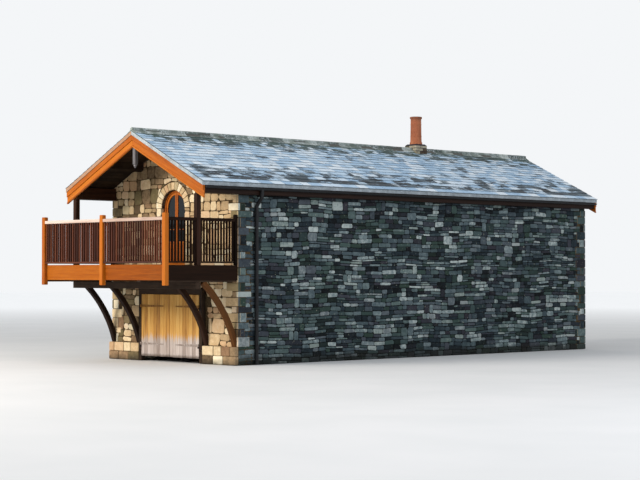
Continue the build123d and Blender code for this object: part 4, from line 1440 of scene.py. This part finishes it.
# Edge faces carry a second tone of 0, so they take no frost and their painted shade stays dark.
is_top = recipe.math("GREATER_THAN", tone[1], 0.0005)
frost = recipe.math("MULTIPLY", frost, is_top)
ice = recipe.total(fine, 0.5, tone[0], 0.5)
white = recipe.ramp(ice, [(0.15, "8DB0D0"), (0.5, "BAD5EC"), (0.85, "F0F7FC")])
relief = recipe.math("MULTIPLY_ADD", fine, 0.5, cleft)
rough = recipe.span(frost, 0.0, 1.0, 0.5, 0.85)
recipe.dress(recipe.blend(frost, bare, white), relief, 0.45, 0.006, rough)
print("slate finish: frost over", slate_finish.name)

# %% [markdown]
# The roof is laid in rough slates, in courses that get shorter towards the ridge, as slaters
# here grade them. Every slate is a thin plate that rests its tail on the course below, so
# its surface tilts a little and its tail throws a thin shadow. Corners are chipped and tails
# uneven. A frosty morning has whitened most of them: the tones say how much lies on each.

# %% One slate
SLATE_THICK = 0.011
TAIL_LIFT = 0.014
HEAD_SINK = 0.003
HEAD_LAP = 1.7


def lay_slate(shape, face, u0, u1, v0, gauge, dice, height_share):
    """One slate: a chipped tail, straight sides, and a head that slips under the next course."""
    length = gauge * HEAD_LAP
    lift = dice.uniform(-0.0015, 0.0025)
    side_gap = dice.uniform(0.001, 0.004)
    left, right = u0 + side_gap, u1 - side_gap
    chips = [dice.uniform(0.003, 0.030) for _ in range(2)]
    drops = [dice.uniform(-0.006, 0.006) for _ in range(3)]
    outline = [(left, v0 + chips[0] * 0.8 + drops[0]), (left + chips[0], v0 + drops[0])]
    outline += [((left + right) / 2 + dice.uniform(-0.04, 0.04), v0 + drops[1])]
    outline += [(right - chips[1], v0 + drops[2]), (right, v0 + chips[1] * 0.8 + drops[2])]
    outline += [(right, v0 + length), (left, v0 + length)]

    def depth(v, thick):
        return lift + thick + TAIL_LIFT - (TAIL_LIFT + HEAD_SINK) * (v - v0) / length

    top = [face.point(u, v, depth(v, SLATE_THICK)) for u, v in outline]
    bottom = [face.point(u, v, depth(v, 0.0)) for u, v in outline]
    count = len(outline)
    edge = [(number, (number + 1) % count) for number in range(count) if number != count - 2]
    faces = [list(range(count))] + [[a + count, b + count, b, a] for a, b in edge]
    on_top = (dice.random(), dice.random(), height_share)
    # The edge faces are painted darker than the top, as painted shade.
    edge_in_painted_shade = (on_top[0] * 0.4, 0.0, height_share)
    shape.add(top + bottom, faces, None, [on_top] + [edge_in_painted_shade] * len(edge))


print("a slate is", SLATE_THICK, "m thick and", HEAD_LAP, "times as long as what shows of it")

# %% Laying slates
LONGEST_GAUGE, SHORTEST_GAUGE = 0.235, 0.150
NARROWEST = 0.16
EAVES_OVERHANG = 0.034
RIDGE_COVER = 0.09

pitch_angle = math.atan(pitch_fall)
slope_length = roof_high.x / math.cos(pitch_angle)
roof_run = roof_high.y - roof_low.y
for side, name in ((1, "right"), (-1, "left")):
    up = (-side * math.cos(pitch_angle), 0.0, math.sin(pitch_angle))
    out = (side * math.sin(pitch_angle), 0.0, math.cos(pitch_angle))
    start_y = roof_low.y if side > 0 else roof_high.y
    eaves_point = (side * roof_high.x, start_y, roof_low.z + ROOF_DEPTH)
    face = Face(eaves_point, (0, side, 0), up, out)
    slates, dice, laid, v = Shape(), Random("slates_" + name), 0, -EAVES_OVERHANG
    while v < slope_length - RIDGE_COVER:
        share = max(0.0, v / slope_length)
        gauge = LONGEST_GAUGE + (SHORTEST_GAUGE - LONGEST_GAUGE) * share
        u = 0.0
        while u < roof_run:
            width = dice.uniform(0.20, 0.40) * (1.15 - 0.35 * share)
            if roof_run - u - width < NARROWEST:
                width = roof_run - u
            lay_slate(slates, face, u, u + width, v, gauge, dice, share)
            laid += 1
            u += width
        v += gauge
    slates.finish(f"roof_slates_{name}", slate_finish, "roof_slate")
    print("slates on the", name, "slope:", laid)

# %% [markdown]
# The ridge is closed with roll-top tiles: two wings that lie on the slates and a round roll
# between them. We draw that section once and push it along the ridge tile by tile, each a
# little out of line with the last and bedded on a thin joint of mortar.

# %% Section of a ridge tile
RIDGE_TILE = 0.46
RIDGE_WING = 0.165
RIDGE_THICK = 0.026
WING_LIFT = 0.008
ROLL_RADIUS = 0.053
ROLL_STEPS = 9

ridge_level = apex + ROOF_DEPTH


def ridge_section():
    """Points of the section in X and Z, from the left wing over the roll to the right wing."""
    wing_low = -RIDGE_WING * pitch_fall + WING_LIFT
    wing_high = -RIDGE_WING * pitch_fall + RIDGE_THICK + WING_LIFT
    points = [(-RIDGE_WING, wing_low), (-RIDGE_WING, wing_high)]
    for step in range(ROLL_STEPS + 1):
        angle = math.radians(205 - 230 * step / ROLL_STEPS)
        height = ROLL_RADIUS * 0.96 + ROLL_RADIUS * math.sin(angle)
        points.append((ROLL_RADIUS * math.cos(angle), height))
    return points + [(RIDGE_WING, wing_high), (RIDGE_WING, wing_low), (0.0, 0.004)]


def push_section(shape, section, start, end, tone, grow=1.0):
    """Extrude a section of (x, z) points along Y from start to end, closed at both ends."""
    count = len(section)
    points = []
    for place, scale in ((start, 1.0), (end, grow)):
        points += [(x * scale + start.x, place.y, place.z + z * scale) for x, z in section]
    sides = [(number, (number + 1) % count) for number in range(count)]
    faces = [[a, b, b + count, a + count] for a, b in sides]
    faces += [list(range(count))[::-1], list(range(count, 2 * count))]
    shape.add(points, faces, None, tone)


print("the section of a ridge tile has", len(ridge_section()), "points")

# %% [markdown]
# The tiles are grey clay, a little green in patches, and frost lies thinly on them. Tiles and
# mortar share one mesh and one finish: the third tone number tells it which of them it is on.

# %% Ridge tile finish
ridge_finish, recipe = new_material("ridge_tile", roughness=0.85)
tone, place = recipe.tone(), recipe.place()
fine = recipe.noise(place, 20.0, 6.0, 0.65)
slow = recipe.noise(place, 3.0, 3.0, 0.6)
level = recipe.sway(fine, 0.6, tone[0])
clay = recipe.ramp(level, [(0.0, "4D5654"), (0.5, "7E8884"), (1.0, "AEB6B1")])
clay = recipe.blend(recipe.span(slow, 0.5, 0.62, 0.0, 0.6), clay, shade("55655A"))
patchy = recipe.span(slow, 0.58, 0.42, 0.1, 1.0)
frosted = recipe.math("MULTIPLY", recipe.span(fine, 0.48, 0.62, 0.0, 0.8), patchy)
colour = recipe.blend(frosted, clay, shade("D3DEE2"))
is_mortar = recipe.math("LESS_THAN", tone[2], 0.5)
recipe.dress(recipe.blend(is_mortar, colour, shade("5A5A55")), fine, 0.4, 0.006)
print("ridge finish: grey clay, part of it frosted")

# %% Ridge tiles
TILE_GAP = 0.004
MORTAR_SET = 0.006
MORTAR_SCALE = 0.95

ridge_pieces, dice = Shape(), Random("ridge")
section = ridge_section()
mortar = [(x * MORTAR_SCALE, z * MORTAR_SCALE) for x, z in section]
for low, high in solids_of("ridge_tiles"):
    count = round((high.y - low.y) / RIDGE_TILE)
    step = (high.y - low.y) / count
    for number in range(count):
        shift, sink = dice.uniform(-0.003, 0.003), dice.uniform(-0.003, 0.0)
        start = Vector((shift, low.y + step * number + TILE_GAP, ridge_level + sink))
        end = Vector((start.x, low.y + step * (number + 1) - TILE_GAP, start.z))
        tone = (dice.random(), dice.random(), 1.0)
        push_section(ridge_pieces, section, start, end, tone, dice.uniform(0.985, 1.0))
    start = Vector((0, low.y + MORTAR_SET, ridge_level))
    end = Vector((0, high.y - MORTAR_SET, ridge_level))
    push_section(ridge_pieces, mortar, start, end, (0.1, 0.5, 0.0))
ridge_pieces.finish("ridge_roll_tiles", ridge_finish, "ridge_tile", replaces=["ridge_tiles"])

# %% [markdown]
# The chimney is a low stone base, weathered to a slope on top, and a tall clay pot. A pot is
# thrown on a wheel, so a line turned about its axis is the right way to make it: the line
# has the thick foot, the bands, the slow taper and the rolled lip, and a hollow inside. Clay
# never bakes to one even red, and smoke has darkened the lip, so the finish reads the height.

# %% Terracotta finish
SOOT_DEPTH = 0.16

pot_low, pot_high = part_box("chimney_pot")
terracotta, recipe = new_material("terracotta", roughness=0.8)
place = recipe.place()
height = recipe.axes(place)["Z"]
fine = recipe.noise(place, 30.0, 6.0, 0.65)
slow = recipe.noise(recipe.stretch(place, (5.0, 5.0, 1.6)), 1.0, 4.0, 0.6)
baked = recipe.total(fine, 0.4, slow, 0.6)
colour = recipe.ramp(baked, [(0.3, "7E4229"), (0.5, "A45E3C"), (0.7, "BE815A")])
near_lip = recipe.span(height, pot_high.z - SOOT_DEPTH, pot_high.z)
soot = recipe.math("MULTIPLY", near_lip, recipe.span(slow, 0.4, 0.6, 0.25, 0.75))
recipe.dress(recipe.blend(soot, colour, shade("2A1D18")), fine, 0.3, 0.004)
print("terracotta: sooty on the top", SOOT_DEPTH, "m")

# %% Chimney pot
POT_STEPS = 56
POT_HOLLOW = 0.139

pot_height = pot_high.z - pot_low.z
foot = (pot_high.x - pot_low.x) / 2
profile = [(POT_HOLLOW, 0.0), (foot, 0.0), (foot, 0.055), (foot - 0.007, 0.066), (0.179, 0.072)]
profile += [(0.1765, 0.10), (0.173, 0.24), (0.177, 0.245), (0.177, 0.262), (0.172, 0.268)]
profile += [(0.169, 0.48), (0.168, 0.60), (0.172, 0.606), (0.172, 0.622), (0.167, 0.628)]
profile += [(0.165, 0.775), (0.170, 0.790), (0.184, 0.800), (0.1895, 0.815), (0.1895, 0.842)]
profile += [(0.184, 0.856), (0.170, pot_height), (0.150, pot_height - 0.004)]
profile += [(0.141, pot_height - 0.02), (POT_HOLLOW, 0.5)]


def turned(shape, centre, base, profile, steps):
    """Turn a closed line of (radius, height) about an upright axis."""
    points, faces, count = [], [], len(profile)
    for step in range(steps):
        angle = 2 * math.pi * step / steps
        across, along = math.cos(angle), math.sin(angle)
        for radius, height in profile:
            points.append((centre.x + radius * across, centre.y + radius * along, base + height))
        this, after = step * count, (step + 1) % steps * count
        for number in range(count):
            a, b = number, (number + 1) % count
            faces.append([this + a, after + a, after + b, this + b])
    shape.add(points, faces)


pot = Shape()
turned(pot, (pot_low + pot_high) / 2, pot_low.z, profile, POT_STEPS)
pot_piece = pot.finish(
    "chimney_pot_turned", terracotta, "terracotta", replaces=["chimney_pot"], smooth=True
)
pot_piece.data.set_sharp_from_angle(angle=math.radians(35))

# %% [markdown]
# The base is squared stones again, whose joints shift from course to course. The slope above
# them is mortar that sheds the rain: there the frame's own solid shows, with a stone finish.

# %% Chimney base
SPLAY = 0.045
STONE_GAP = 0.004
BASE_LEVELS = (0.0, 0.11, 0.20)
# The chimney stones take part of the gable's painted sunlight.
BASE_PAINTED_SUN = 0.4

base_low, base_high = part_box("chimney_base")
middle = (base_low + base_high) / 2
base, dice = Shape(), Random("chimney_base")
levels = [base_low.z + level for level in BASE_LEVELS] + [base_high.z - SPLAY]
for turn, (low, high) in enumerate(zip(levels, levels[1:])):
    shift = 1 if turn % 2 else -1
    zs = (low + STONE_GAP, high - STONE_GAP)
    split_x, split_y = middle.x + shift * 0.07, middle.y + shift * 0.06
    for xs in ((base_low.x, split_x), (split_x, base_high.x)):
        for ys in ((base_low.y, split_y), (split_y, base_high.y)):
            ends = []
            for (start, end), joint in ((xs, split_x), (ys, split_y)):
                start += STONE_GAP if start == joint else -STONE_GAP
                end += -STONE_GAP if end == joint else STONE_GAP
                ends.append((start, end))
            squared_block(base, *box_of(*ends, zs), dice, lambda look: BASE_PAINTED_SUN, ease=0.010)
base.finish("chimney_base_stones", rubble, "rubble_stone")
coat(stone_finish("flaunching", 0.9), "chimney_base")

# %% [markdown]
# Where slates end over the gable, a bed of pale mortar closes the edge. The whole slab under
# the slates gets this finish, and under the porch it is hidden by boards, as on the real
# building, where one looks up at wood. Mortar is lime and sand, so two noises mix its greys.

# %% Verge mortar
verge_finish, recipe = new_material("verge_mortar", roughness=0.9)
place = recipe.place()
fine = recipe.noise(place, 30.0, 5.0, 0.6)
slow = recipe.noise(place, 4.0, 3.0, 0.6)
limed = recipe.total(fine, 0.5, slow, 0.5)
colour = recipe.ramp(limed, [(0.3, "737B80"), (0.55, "A3ADB3"), (0.7, "CBD5DB")])
axes = recipe.axes(place)
# Only the front of the left slope is tinted orange brown.
on_left = recipe.math("LESS_THAN", axes["X"], 0.0)
in_front = recipe.math("LESS_THAN", axes["Y"], roof_low.y + 0.05)
stained = recipe.math("MULTIPLY", recipe.math("MULTIPLY", on_left, in_front), 0.75)
recipe.dress(recipe.blend(stained, colour, shade("A8713A")), fine, 0.5, 0.006)
coat(verge_finish, "roof_slope_left", "roof_slope_right")

# %% [markdown]
# Under the porch and behind the rear bargeboards one looks up at the boards that carry the
# slates. Each is a thin sawn length along the roof, laid to its slope, with a narrow gap.

# %% Porch boards
SARKING = 0.014
SARKING_WIDTH = 0.16
SARKING_GAP = 0.004
FIRST_BOARD = 0.056

ceiling, dice = Shape(), Random("porch_ceiling")
overhangs = [(front_high.y, wall_face - PROUD), (rear_face + PROUD, rear_low.y)]
for side in (-1, 1):
    tilt = Vector((1.0, 0.0, -side * pitch_fall))
    x = FIRST_BOARD
    while x < corner_x - 0.02:
        end = min(x + SARKING_WIDTH, corner_x - 0.01)
        middle_x = side * (x + end) / 2
        level = apex - abs(middle_x) * pitch_fall - SARKING / 2
        for ys in overhangs:
            path = [Vector((middle_x, y, level)) for y in ys]
            width = end - x - SARKING_GAP
            timber(ceiling, path, tilt, AXES["z"], width, SARKING, dice, ease=0.003)
        x = end
ceiling.finish("porch_ceiling_boards", dark_timber, "dark_timber")

# %% [markdown]
# The boat doors are the only things that move. Each leaf is nine upright boards held by
# three ledges and two braces, and it rides on its own body, so that it swings with its hinge.
# The planks have gone gold, with dark streaks where rain runs, and years of wet have
# bleached their feet almost to lilac. The finish knows the height because each piece keeps
# its own coordinates at rest, and these stay with the leaf as it turns.

# %% Door plank finish
BLEACH_TOP = 0.74
BLEACH_FADE = 0.16

plank_finish, recipe = new_material("door_planks", roughness=0.7)
grain, tone, place = recipe.grain(), recipe.tone(), recipe.place()
height = recipe.axes(place)["Z"]
fibre = recipe.noise(recipe.stretch(grain, (2.0, 90.0, 1.0)), 1.0, 5.0, 0.62)
runs = recipe.noise(recipe.stretch(place, (26.0, 26.0, 1.1)), 1.0, 4.0, 0.6)
mixed = recipe.total(fibre, 0.5, runs, 0.35)
level = recipe.math("MULTIPLY_ADD", tone[0], 0.22, mixed)
gold = recipe.ramp(level, [(0.32, "7A4E1E"), (0.46, "B07C31"), (0.58, "C99443"), (0.72, "DDB163")])
gold = recipe.blend(recipe.span(runs, 0.40, 0.30, 0.0, 0.75), gold, shade("5B3517"))
ragged = recipe.sway(runs, -0.62, height)
bleached = recipe.span(ragged, BLEACH_TOP - BLEACH_FADE, BLEACH_TOP, 1.0, 0.0)
pale = recipe.ramp(level, [(0.35, "7C6E66"), (0.5, "A99B93"), (0.68, "CABFB9")])
colour = recipe.blend(bleached, gold, pale)
# A thin dark band at the foot of the planks, partly damp and partly painted shade.
wet = recipe.span(recipe.sway(runs, -0.10, height), 0.165, 0.215, 0.7, 0.0)
colour = recipe.blend(wet, colour, shade("3B2C20"))
recipe.dress(colour, fibre, 0.4, 0.002, recipe.span(fibre, 0.3, 0.7, 0.6, 0.82))
print("door finish: bleached below", BLEACH_TOP, "m")

# %% Door leaves
LEAF_BOARDS = 9
LEAF_THICK = 0.045
BOARD_GAP = 0.001
LEDGE_THICK = 0.035
LEDGE_HEIGHT = 0.14
LEDGE_INSET = 0.04
LEAF_BRACE = 0.11

straps = solids_of("strap_hinges_right")
hinge_levels = sorted({round((low.z + high.z) / 2, 3) for low, high in straps})
for name, side in (("right", 1), ("left", -1)):
    body = f"boat_door_{name}"
    low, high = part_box(body)
    leaf, dice = Shape(), Random("leaf_" + name)
    pitch = (high.x - low.x) / LEAF_BOARDS
    back = low.y + LEAF_THICK
    for number in range(LEAF_BOARDS):
        left = low.x + pitch * number
        ys, foot = (low.y + dice.uniform(0, 0.002), back), low.z + dice.uniform(0, 0.012)
        plank = box_of((left + BOARD_GAP, left + pitch - BOARD_GAP), ys, (foot, high.z))
        board(leaf, *plank, "z", dice, ease=0.006, spacing=0.4)
    inner, outer = low.x + LEDGE_INSET, high.x - LEDGE_INSET
    levels = (hinge_levels[0], sum(hinge_levels) / 2, hinge_levels[1])
    for level in levels:
        zs = (level - LEDGE_HEIGHT / 2, level + LEDGE_HEIGHT / 2)
        board(leaf, *box_of((inner, outer), (back, high.y), zs), "x", dice, ease=0.006)
    start, end = (outer, inner) if side > 0 else (inner, outer)
    start, end = start - side * LEAF_BRACE / 2, end + side * LEAF_BRACE / 2
    middle_y = (back + high.y) / 2
    for foot, head in zip(levels, levels[1:]):
        foot, head = foot + LEDGE_HEIGHT / 2, head - LEDGE_HEIGHT / 2
        path = [Vector((start, middle_y, foot)), Vector((end, middle_y, head))]
        timber(leaf, path, AXES["x"], AXES["y"], LEAF_BRACE, LEDGE_THICK, dice, ease=0.005)
    leaf.finish(f"door_leaf_{name}", plank_finish, "door_planks", body, [body])

# %% [markdown]
# Iron in wet air is never plain black. Its finish is a near-black brown with a little rust in
# patches and a dull shine. The straps and pintles keep the shape of the frame, since they
# have to fit each other to half a millimetre; we only add what the smith would: bolt heads.
# The straps were stained over together with the boards and have bleached with them, so from
# far off they hardly show; their finish follows the height just as the planks do.

# %% Iron, painted metal and stained straps
iron, recipe = new_material("black_iron", roughness=0.6, metallic=0.6)
place = recipe.place()
patch = recipe.noise(place, 14.0, 5.0, 0.65)
fine = recipe.noise(place, 90.0, 3.0, 0.6)
colour = recipe.ramp(fine, [(0.3, "151312"), (0.7, "2B2623")])
colour = recipe.blend(recipe.span(patch, 0.52, 0.64, 0.0, 0.7), colour, shade("5A2F1A"))
recipe.dress(colour, fine, 0.25, 0.001, recipe.span(patch, 0.4, 0.65, 0.5, 0.85))
coat(iron, "pintles")

painted_metal, recipe = new_material("black_metal", roughness=0.42, gloss=0.25)
place = recipe.place()
patch = recipe.noise(place, 5.0, 4.0, 0.6)
fine = recipe.noise(place, 60.0, 3.0, 0.6)
colour = recipe.ramp(patch, [(0.3, "0E0F11"), (0.7, "1D1F22")])
colour = recipe.blend(recipe.span(fine, 0.66, 0.72, 0.0, 0.4), colour, shade("4A3A2C"))
recipe.dress(colour, fine, 0.12, 0.001, recipe.span(patch, 0.35, 0.65, 0.34, 0.56))
coat(painted_metal, "gutter_left", "gutter_right", "downpipe_left", "downpipe_right")

strap_finish, recipe = new_material("stained_strap", roughness=0.75, metallic=0.15)
place = recipe.place()
patch = recipe.noise(place, 16.0, 5.0, 0.65)
stained = recipe.ramp(patch, [(0.3, "5A3415"), (0.5, "8F6127"), (0.7, "AD7E38")])
bleached = recipe.ramp(patch, [(0.3, "6E5B50"), (0.5, "9E928B"), (0.7, "BDB2AC")])
height = recipe.axes(place)["Z"]
low_down = recipe.span(height, BLEACH_TOP - BLEACH_FADE, BLEACH_TOP, 1.0, 0.0)
recipe.dress(recipe.blend(low_down, stained, bleached), patch, 0.25, 0.001)
coat(strap_finish, "strap_hinges_left", "strap_hinges_right")

# %% A bolt head
BOLT_SIDES = 10


def bolt_head(shape, centre, out, radius, height):
    """A domed round head that stands on a surface at centre and points out."""
    out = Vector(out).normalized()
    right = out.orthogonal().normalized()
    up = out.cross(right)
    points = []
    for reach, lift in ((radius, 0.0), (radius, height * 0.35), (radius * 0.72, height * 0.8)):
        for number in range(BOLT_SIDES):
            angle = 2 * math.pi * number / BOLT_SIDES
            spot = centre + right * reach * math.cos(angle) + up * reach * math.sin(angle)
            points.append(spot + out * lift)
    points.append(centre + out * height)
    turn = [(number, (number + 1) % BOLT_SIDES) for number in range(BOLT_SIDES)]
    faces = []
    for low, top in ((0, BOLT_SIDES), (BOLT_SIDES, 2 * BOLT_SIDES)):
        faces += [[low + a, low + b, top + b, top + a] for a, b in turn]
    faces += [[top + a, top + b, top + BOLT_SIDES] for a, b in turn]
    shape.add(points, faces)


print("a bolt head has", BOLT_SIDES, "sides")

# %% Bolts
STRAP_BOLTS = 6
FIRST_BOLT, BOLT_PITCH = 0.10, 0.165
PLATE_THICK = 0.008
PLATE_MIDDLE = 0.045
PLATE_BOLTS = (0.022, 0.098)
BRACE_BOLT = 0.06

for name, side in (("right", 1), ("left", -1)):
    body, bolts = f"boat_door_{name}", Shape()
    face_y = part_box(body)[0].y - PLATE_THICK
    for low, high in solids_of(f"strap_hinges_{name}"):
        root = high.x if side > 0 else low.x
        for number in range(STRAP_BOLTS):
            x = root - side * (FIRST_BOLT + BOLT_PITCH * number)
            bolt_head(bolts, Vector((x, face_y, (low.z + high.z) / 2)), (0, -1, 0), 0.009, 0.005)
    bolts.finish(f"strap_bolts_{name}", strap_finish, "black_iron", body)

frame_bolts = Shape()
post_low, post_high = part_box("boat_door_posts")
for low, high in solids_of("pintles"):
    x = (1 if low.x > 0 else -1) * (abs(post_high.x) - PLATE_MIDDLE)
    for lift in PLATE_BOLTS:
        centre = Vector((x, post_low.y - PLATE_THICK, low.z + lift))
        bolt_head(frame_bolts, centre, (0, -1, 0), 0.010, 0.006)
cross_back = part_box("balcony_cross_beam")[1].y
for low, high in braces:
    for side, x in ((-1, low.x), (1, high.x)):
        centre = Vector((x, cross_back + BRACE_BOLT, high.z - BRACE_BOLT))
        bolt_head(frame_bolts, centre, (side, 0, 0), 0.013, 0.007)
frame_bolts.finish("frame_bolts", iron, "black_iron")

# %% [markdown]
# Along the eaves the gutter hangs in brackets, and its lengths meet in sockets. The downpipe
# has a collar wherever two lengths join, just above a clip.

# %% Gutter brackets and pipe collars
GUTTER_BAY = 0.9
SOCKET_HALF, BRACKET_HALF = 0.045, 0.012
COLLAR_LEVELS = (0.45, 2.14, 3.82)
COLLAR = [(0.0495, 0.0), (0.056, 0.0), (0.0585, 0.012), (0.056, 0.024), (0.056, 0.085)]
COLLAR += [(0.0575, 0.095), (0.0495, 0.100)]
PIPE_STAND = 0.08

half_turn = [math.radians(180 + 180 * step / 14) for step in range(15)]
fittings, dice = Shape(), Random("gutter")
for name, side in (("right", 1), ("left", -1)):
    low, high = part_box(f"gutter_{name}")
    centre_x, radius = (low.x + high.x) / 2, (high.x - low.x) / 2
    outline = []
    for reach, angles in ((radius + 0.0035, half_turn), (radius - 0.001, half_turn[::-1])):
        flat = 0.998 * radius / max(reach, radius)
        outline += [(reach * math.cos(a) * flat, reach * math.sin(a)) for a in angles]
    bays = round((high.y - low.y) / GUTTER_BAY)
    for number in range(bays + 1):
        wide = SOCKET_HALF if number % 3 == 0 else BRACKET_HALF
        y = low.y + 0.05 + (high.y - low.y - 0.1) * number / bays
        start, end = (Vector((centre_x, place, high.z)) for place in (y - wide, y + wide))
        push_section(fittings, outline, start, end, (dice.random(), 0.5, 0.5))
    pipe_low, pipe_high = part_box(f"downpipe_{name}")
    centre = Vector((side * (corner_x + PIPE_STAND), (pipe_low.y + pipe_high.y) / 2, 0))
    for level in COLLAR_LEVELS:
        turned(fittings, centre, level, COLLAR, 24)
fittings_piece = fittings.finish("gutter_fittings", painted_metal, "black_metal", smooth=True)
fittings_piece.data.set_sharp_from_angle(angle=math.radians(40))

# %% [markdown]
# The balcony door is the jewel of the gable: a round-headed frame in the same orange as the
# bargeboards, and two leaves that meet in the middle, glazed above and panelled below. Bent
# parts follow an arc, so the timber helper gets a path of points along it and turns its
# section with the arc. The same helper makes the straight stiles and rails.

# %% Helpers for round-headed joinery
ARCH_STEPS = 22
FRAME_FACE = 0.065
FRAME_INNER = ARCH_HALF - FRAME_FACE

stained_orange = ("783605", "AA5709", "C3711A")
joinery = wood("arched_door_timber", stained_orange, 0.45, streaks=0.8)


def arc_path(radius, y, level, start_degrees, end_degrees, steps=ARCH_STEPS):
    """Points along an arc in the plane of a gable, and the outward spokes at them."""
    path, spokes = [], []
    for step in range(steps + 1):
        angle = math.radians(start_degrees + (end_degrees - start_degrees) * step / steps)
        spoke = Vector((math.cos(angle), 0, math.sin(angle)))
        path.append(Vector((0, y, level)) + spoke * radius)
        spokes.append(spoke)
    return path, spokes


def arched_frame(shape, low, high, sill_height, dice):
    """Two posts, a round head and a sill, bevelled; returns where the arch springs."""
    spring = high.z - ARCH_HALF
    ys, middle_y, depth = (low.y, high.y), (low.y + high.y) / 2, high.y - low.y
    for side in (-1, 1):
        post = box_of(on_side(side, ARCH_HALF, FRAME_INNER), ys, (low.z, spring))
        board(shape, *post, "z", dice, ease=0.007)
    path, spokes = arc_path(ARCH_HALF - FRAME_FACE / 2, middle_y, spring, 0, 180)
    timber(shape, path, AXES["y"], spokes, depth, FRAME_FACE, dice, ease=0.007, wander=0.0005)
    sill = box_of((-FRAME_INNER, FRAME_INNER), ys, (low.z, low.z + sill_height))
    board(shape, *sill, "x", dice, ease=0.006)
    return spring


print("a round head is bent in", ARCH_STEPS, "steps")

# %% The balcony door
SILL_HEIGHT = 0.04
STILE = 0.062
LEAF_GAP = 0.002
KICK_PANEL = 0.56
PANEL_RAISED = 0.035
BAR, BAR_DEEP = 0.028, 0.028
BAR_SHARES = (0.36, 0.70)

door_wood, dice = Shape(), Random("arched_door")
spring = arched_frame(door_wood, *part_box("arched_door_frame"), SILL_HEIGHT, dice)
low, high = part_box("arched_door_leaves")
outer, ys = high.x, (low.y, high.y)
middle_y, thick = (low.y + high.y) / 2, high.y - low.y
kick, panel_top = low.z + STILE, low.z + STILE + KICK_PANEL
for side in (-1, 1):
    meeting = on_side(side, LEAF_GAP / 2, LEAF_GAP / 2 + STILE)
    hanging = on_side(side, outer, outer - STILE)
    span = on_side(side, LEAF_GAP / 2 + STILE, outer - STILE)
    board(door_wood, *box_of(meeting, ys, (low.z, high.z - 0.004)), "z", dice)
    board(door_wood, *box_of(hanging, ys, (low.z, spring)), "z", dice)
    board(door_wood, *box_of(span, ys, (low.z, kick)), "x", dice)
    board(door_wood, *box_of(span, ys, (panel_top - STILE, panel_top)), "x", dice)
    panel = box_of(span, (low.y + 0.014, high.y - 0.010), (kick, panel_top - STILE))
    board(door_wood, *panel, "z", dice, ease=0.003)
    field_xs = (span[0] + PANEL_RAISED, span[1] - PANEL_RAISED)
    field_zs = (kick + PANEL_RAISED, panel_top - STILE - PANEL_RAISED)
    field = box_of(field_xs, (low.y + 0.006, low.y + 0.020), field_zs)
    board(door_wood, *field, "z", dice, ease=0.008)
    ends = (0, 90) if side > 0 else (90, 180)
    path, spokes = arc_path(outer - STILE / 2, middle_y, spring, *ends, steps=ARCH_STEPS // 2)
    timber(door_wood, path, AXES["y"], spokes, thick, STILE, dice, ease=0.006, wander=0.0005)
    bar_ys = (middle_y - BAR_DEEP / 2, middle_y + BAR_DEEP / 2)
    for share in BAR_SHARES:
        level = panel_top + (spring - panel_top) * share
        bar = box_of(span, bar_ys, (level - BAR / 2, level + BAR / 2))
        board(door_wood, *bar, "x", dice, ease=0.004)
replaced = ["arched_door_frame", "arched_door_leaves"]
door_wood.finish("arched_door_joinery", joinery, "orange_timber", replaces=replaced)

# %% [markdown]
# The rear window repeats the arch with a post in the middle. The rear gable isn't seen from
# the front, so it stays plain: the same frame, the same glass and two bars to a light.

# %% The rear window
MULLION = 0.09
WINDOW_BAR_DEEP = 0.032
BARS_FROM_SPRING = (-0.36, 0.02)

window_wood, dice = Shape(), Random("rear_window")
low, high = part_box("rear_window_frame")
spring = arched_frame(window_wood, low, high, FRAME_FACE, dice)
post_zs = (low.z + FRAME_FACE, high.z - FRAME_FACE)
post = box_of((-MULLION / 2, MULLION / 2), (low.y, high.y), post_zs)
board(window_wood, *post, "z", dice)
middle_y = (low.y + high.y) / 2
bar_ys = (middle_y - WINDOW_BAR_DEEP / 2, middle_y + WINDOW_BAR_DEEP / 2)
for side in (-1, 1):
    span = on_side(side, MULLION / 2, FRAME_INNER)
    for offset in BARS_FROM_SPRING:
        level = spring + offset
        bar = box_of(span, bar_ys, (level - BAR / 2, level + BAR / 2))
        board(window_wood, *bar, "x", dice, ease=0.004)
window_wood.finish(
    "rear_window_joinery", joinery, "orange_timber", replaces=["rear_window_frame"]
)

# %% [markdown]
# Seen from outside by day, window glass is a dark mirror. So its colour is painted dark, as
# painted shade of the dim room behind it, only a little see-through, with a smooth surface.
# Old panes are never quite flat, and a slow, very weak bump makes what they reflect wobble.

# %% Window glass
glass, recipe = new_material("window_glass", roughness=0.06)
recipe.surface.inputs["Transmission Weight"].default_value = 0.25
recipe.surface.inputs["IOR"].default_value = 1.45
ripple = recipe.noise(recipe.place(), 3.0, 2.0, 0.5)
rough = recipe.span(ripple, 0.3, 0.7, 0.04, 0.10)
recipe.dress(shade("1A2126"), ripple, 0.08, 0.01, rough)
coat(glass, "arched_door_glass", "rear_window_glass")
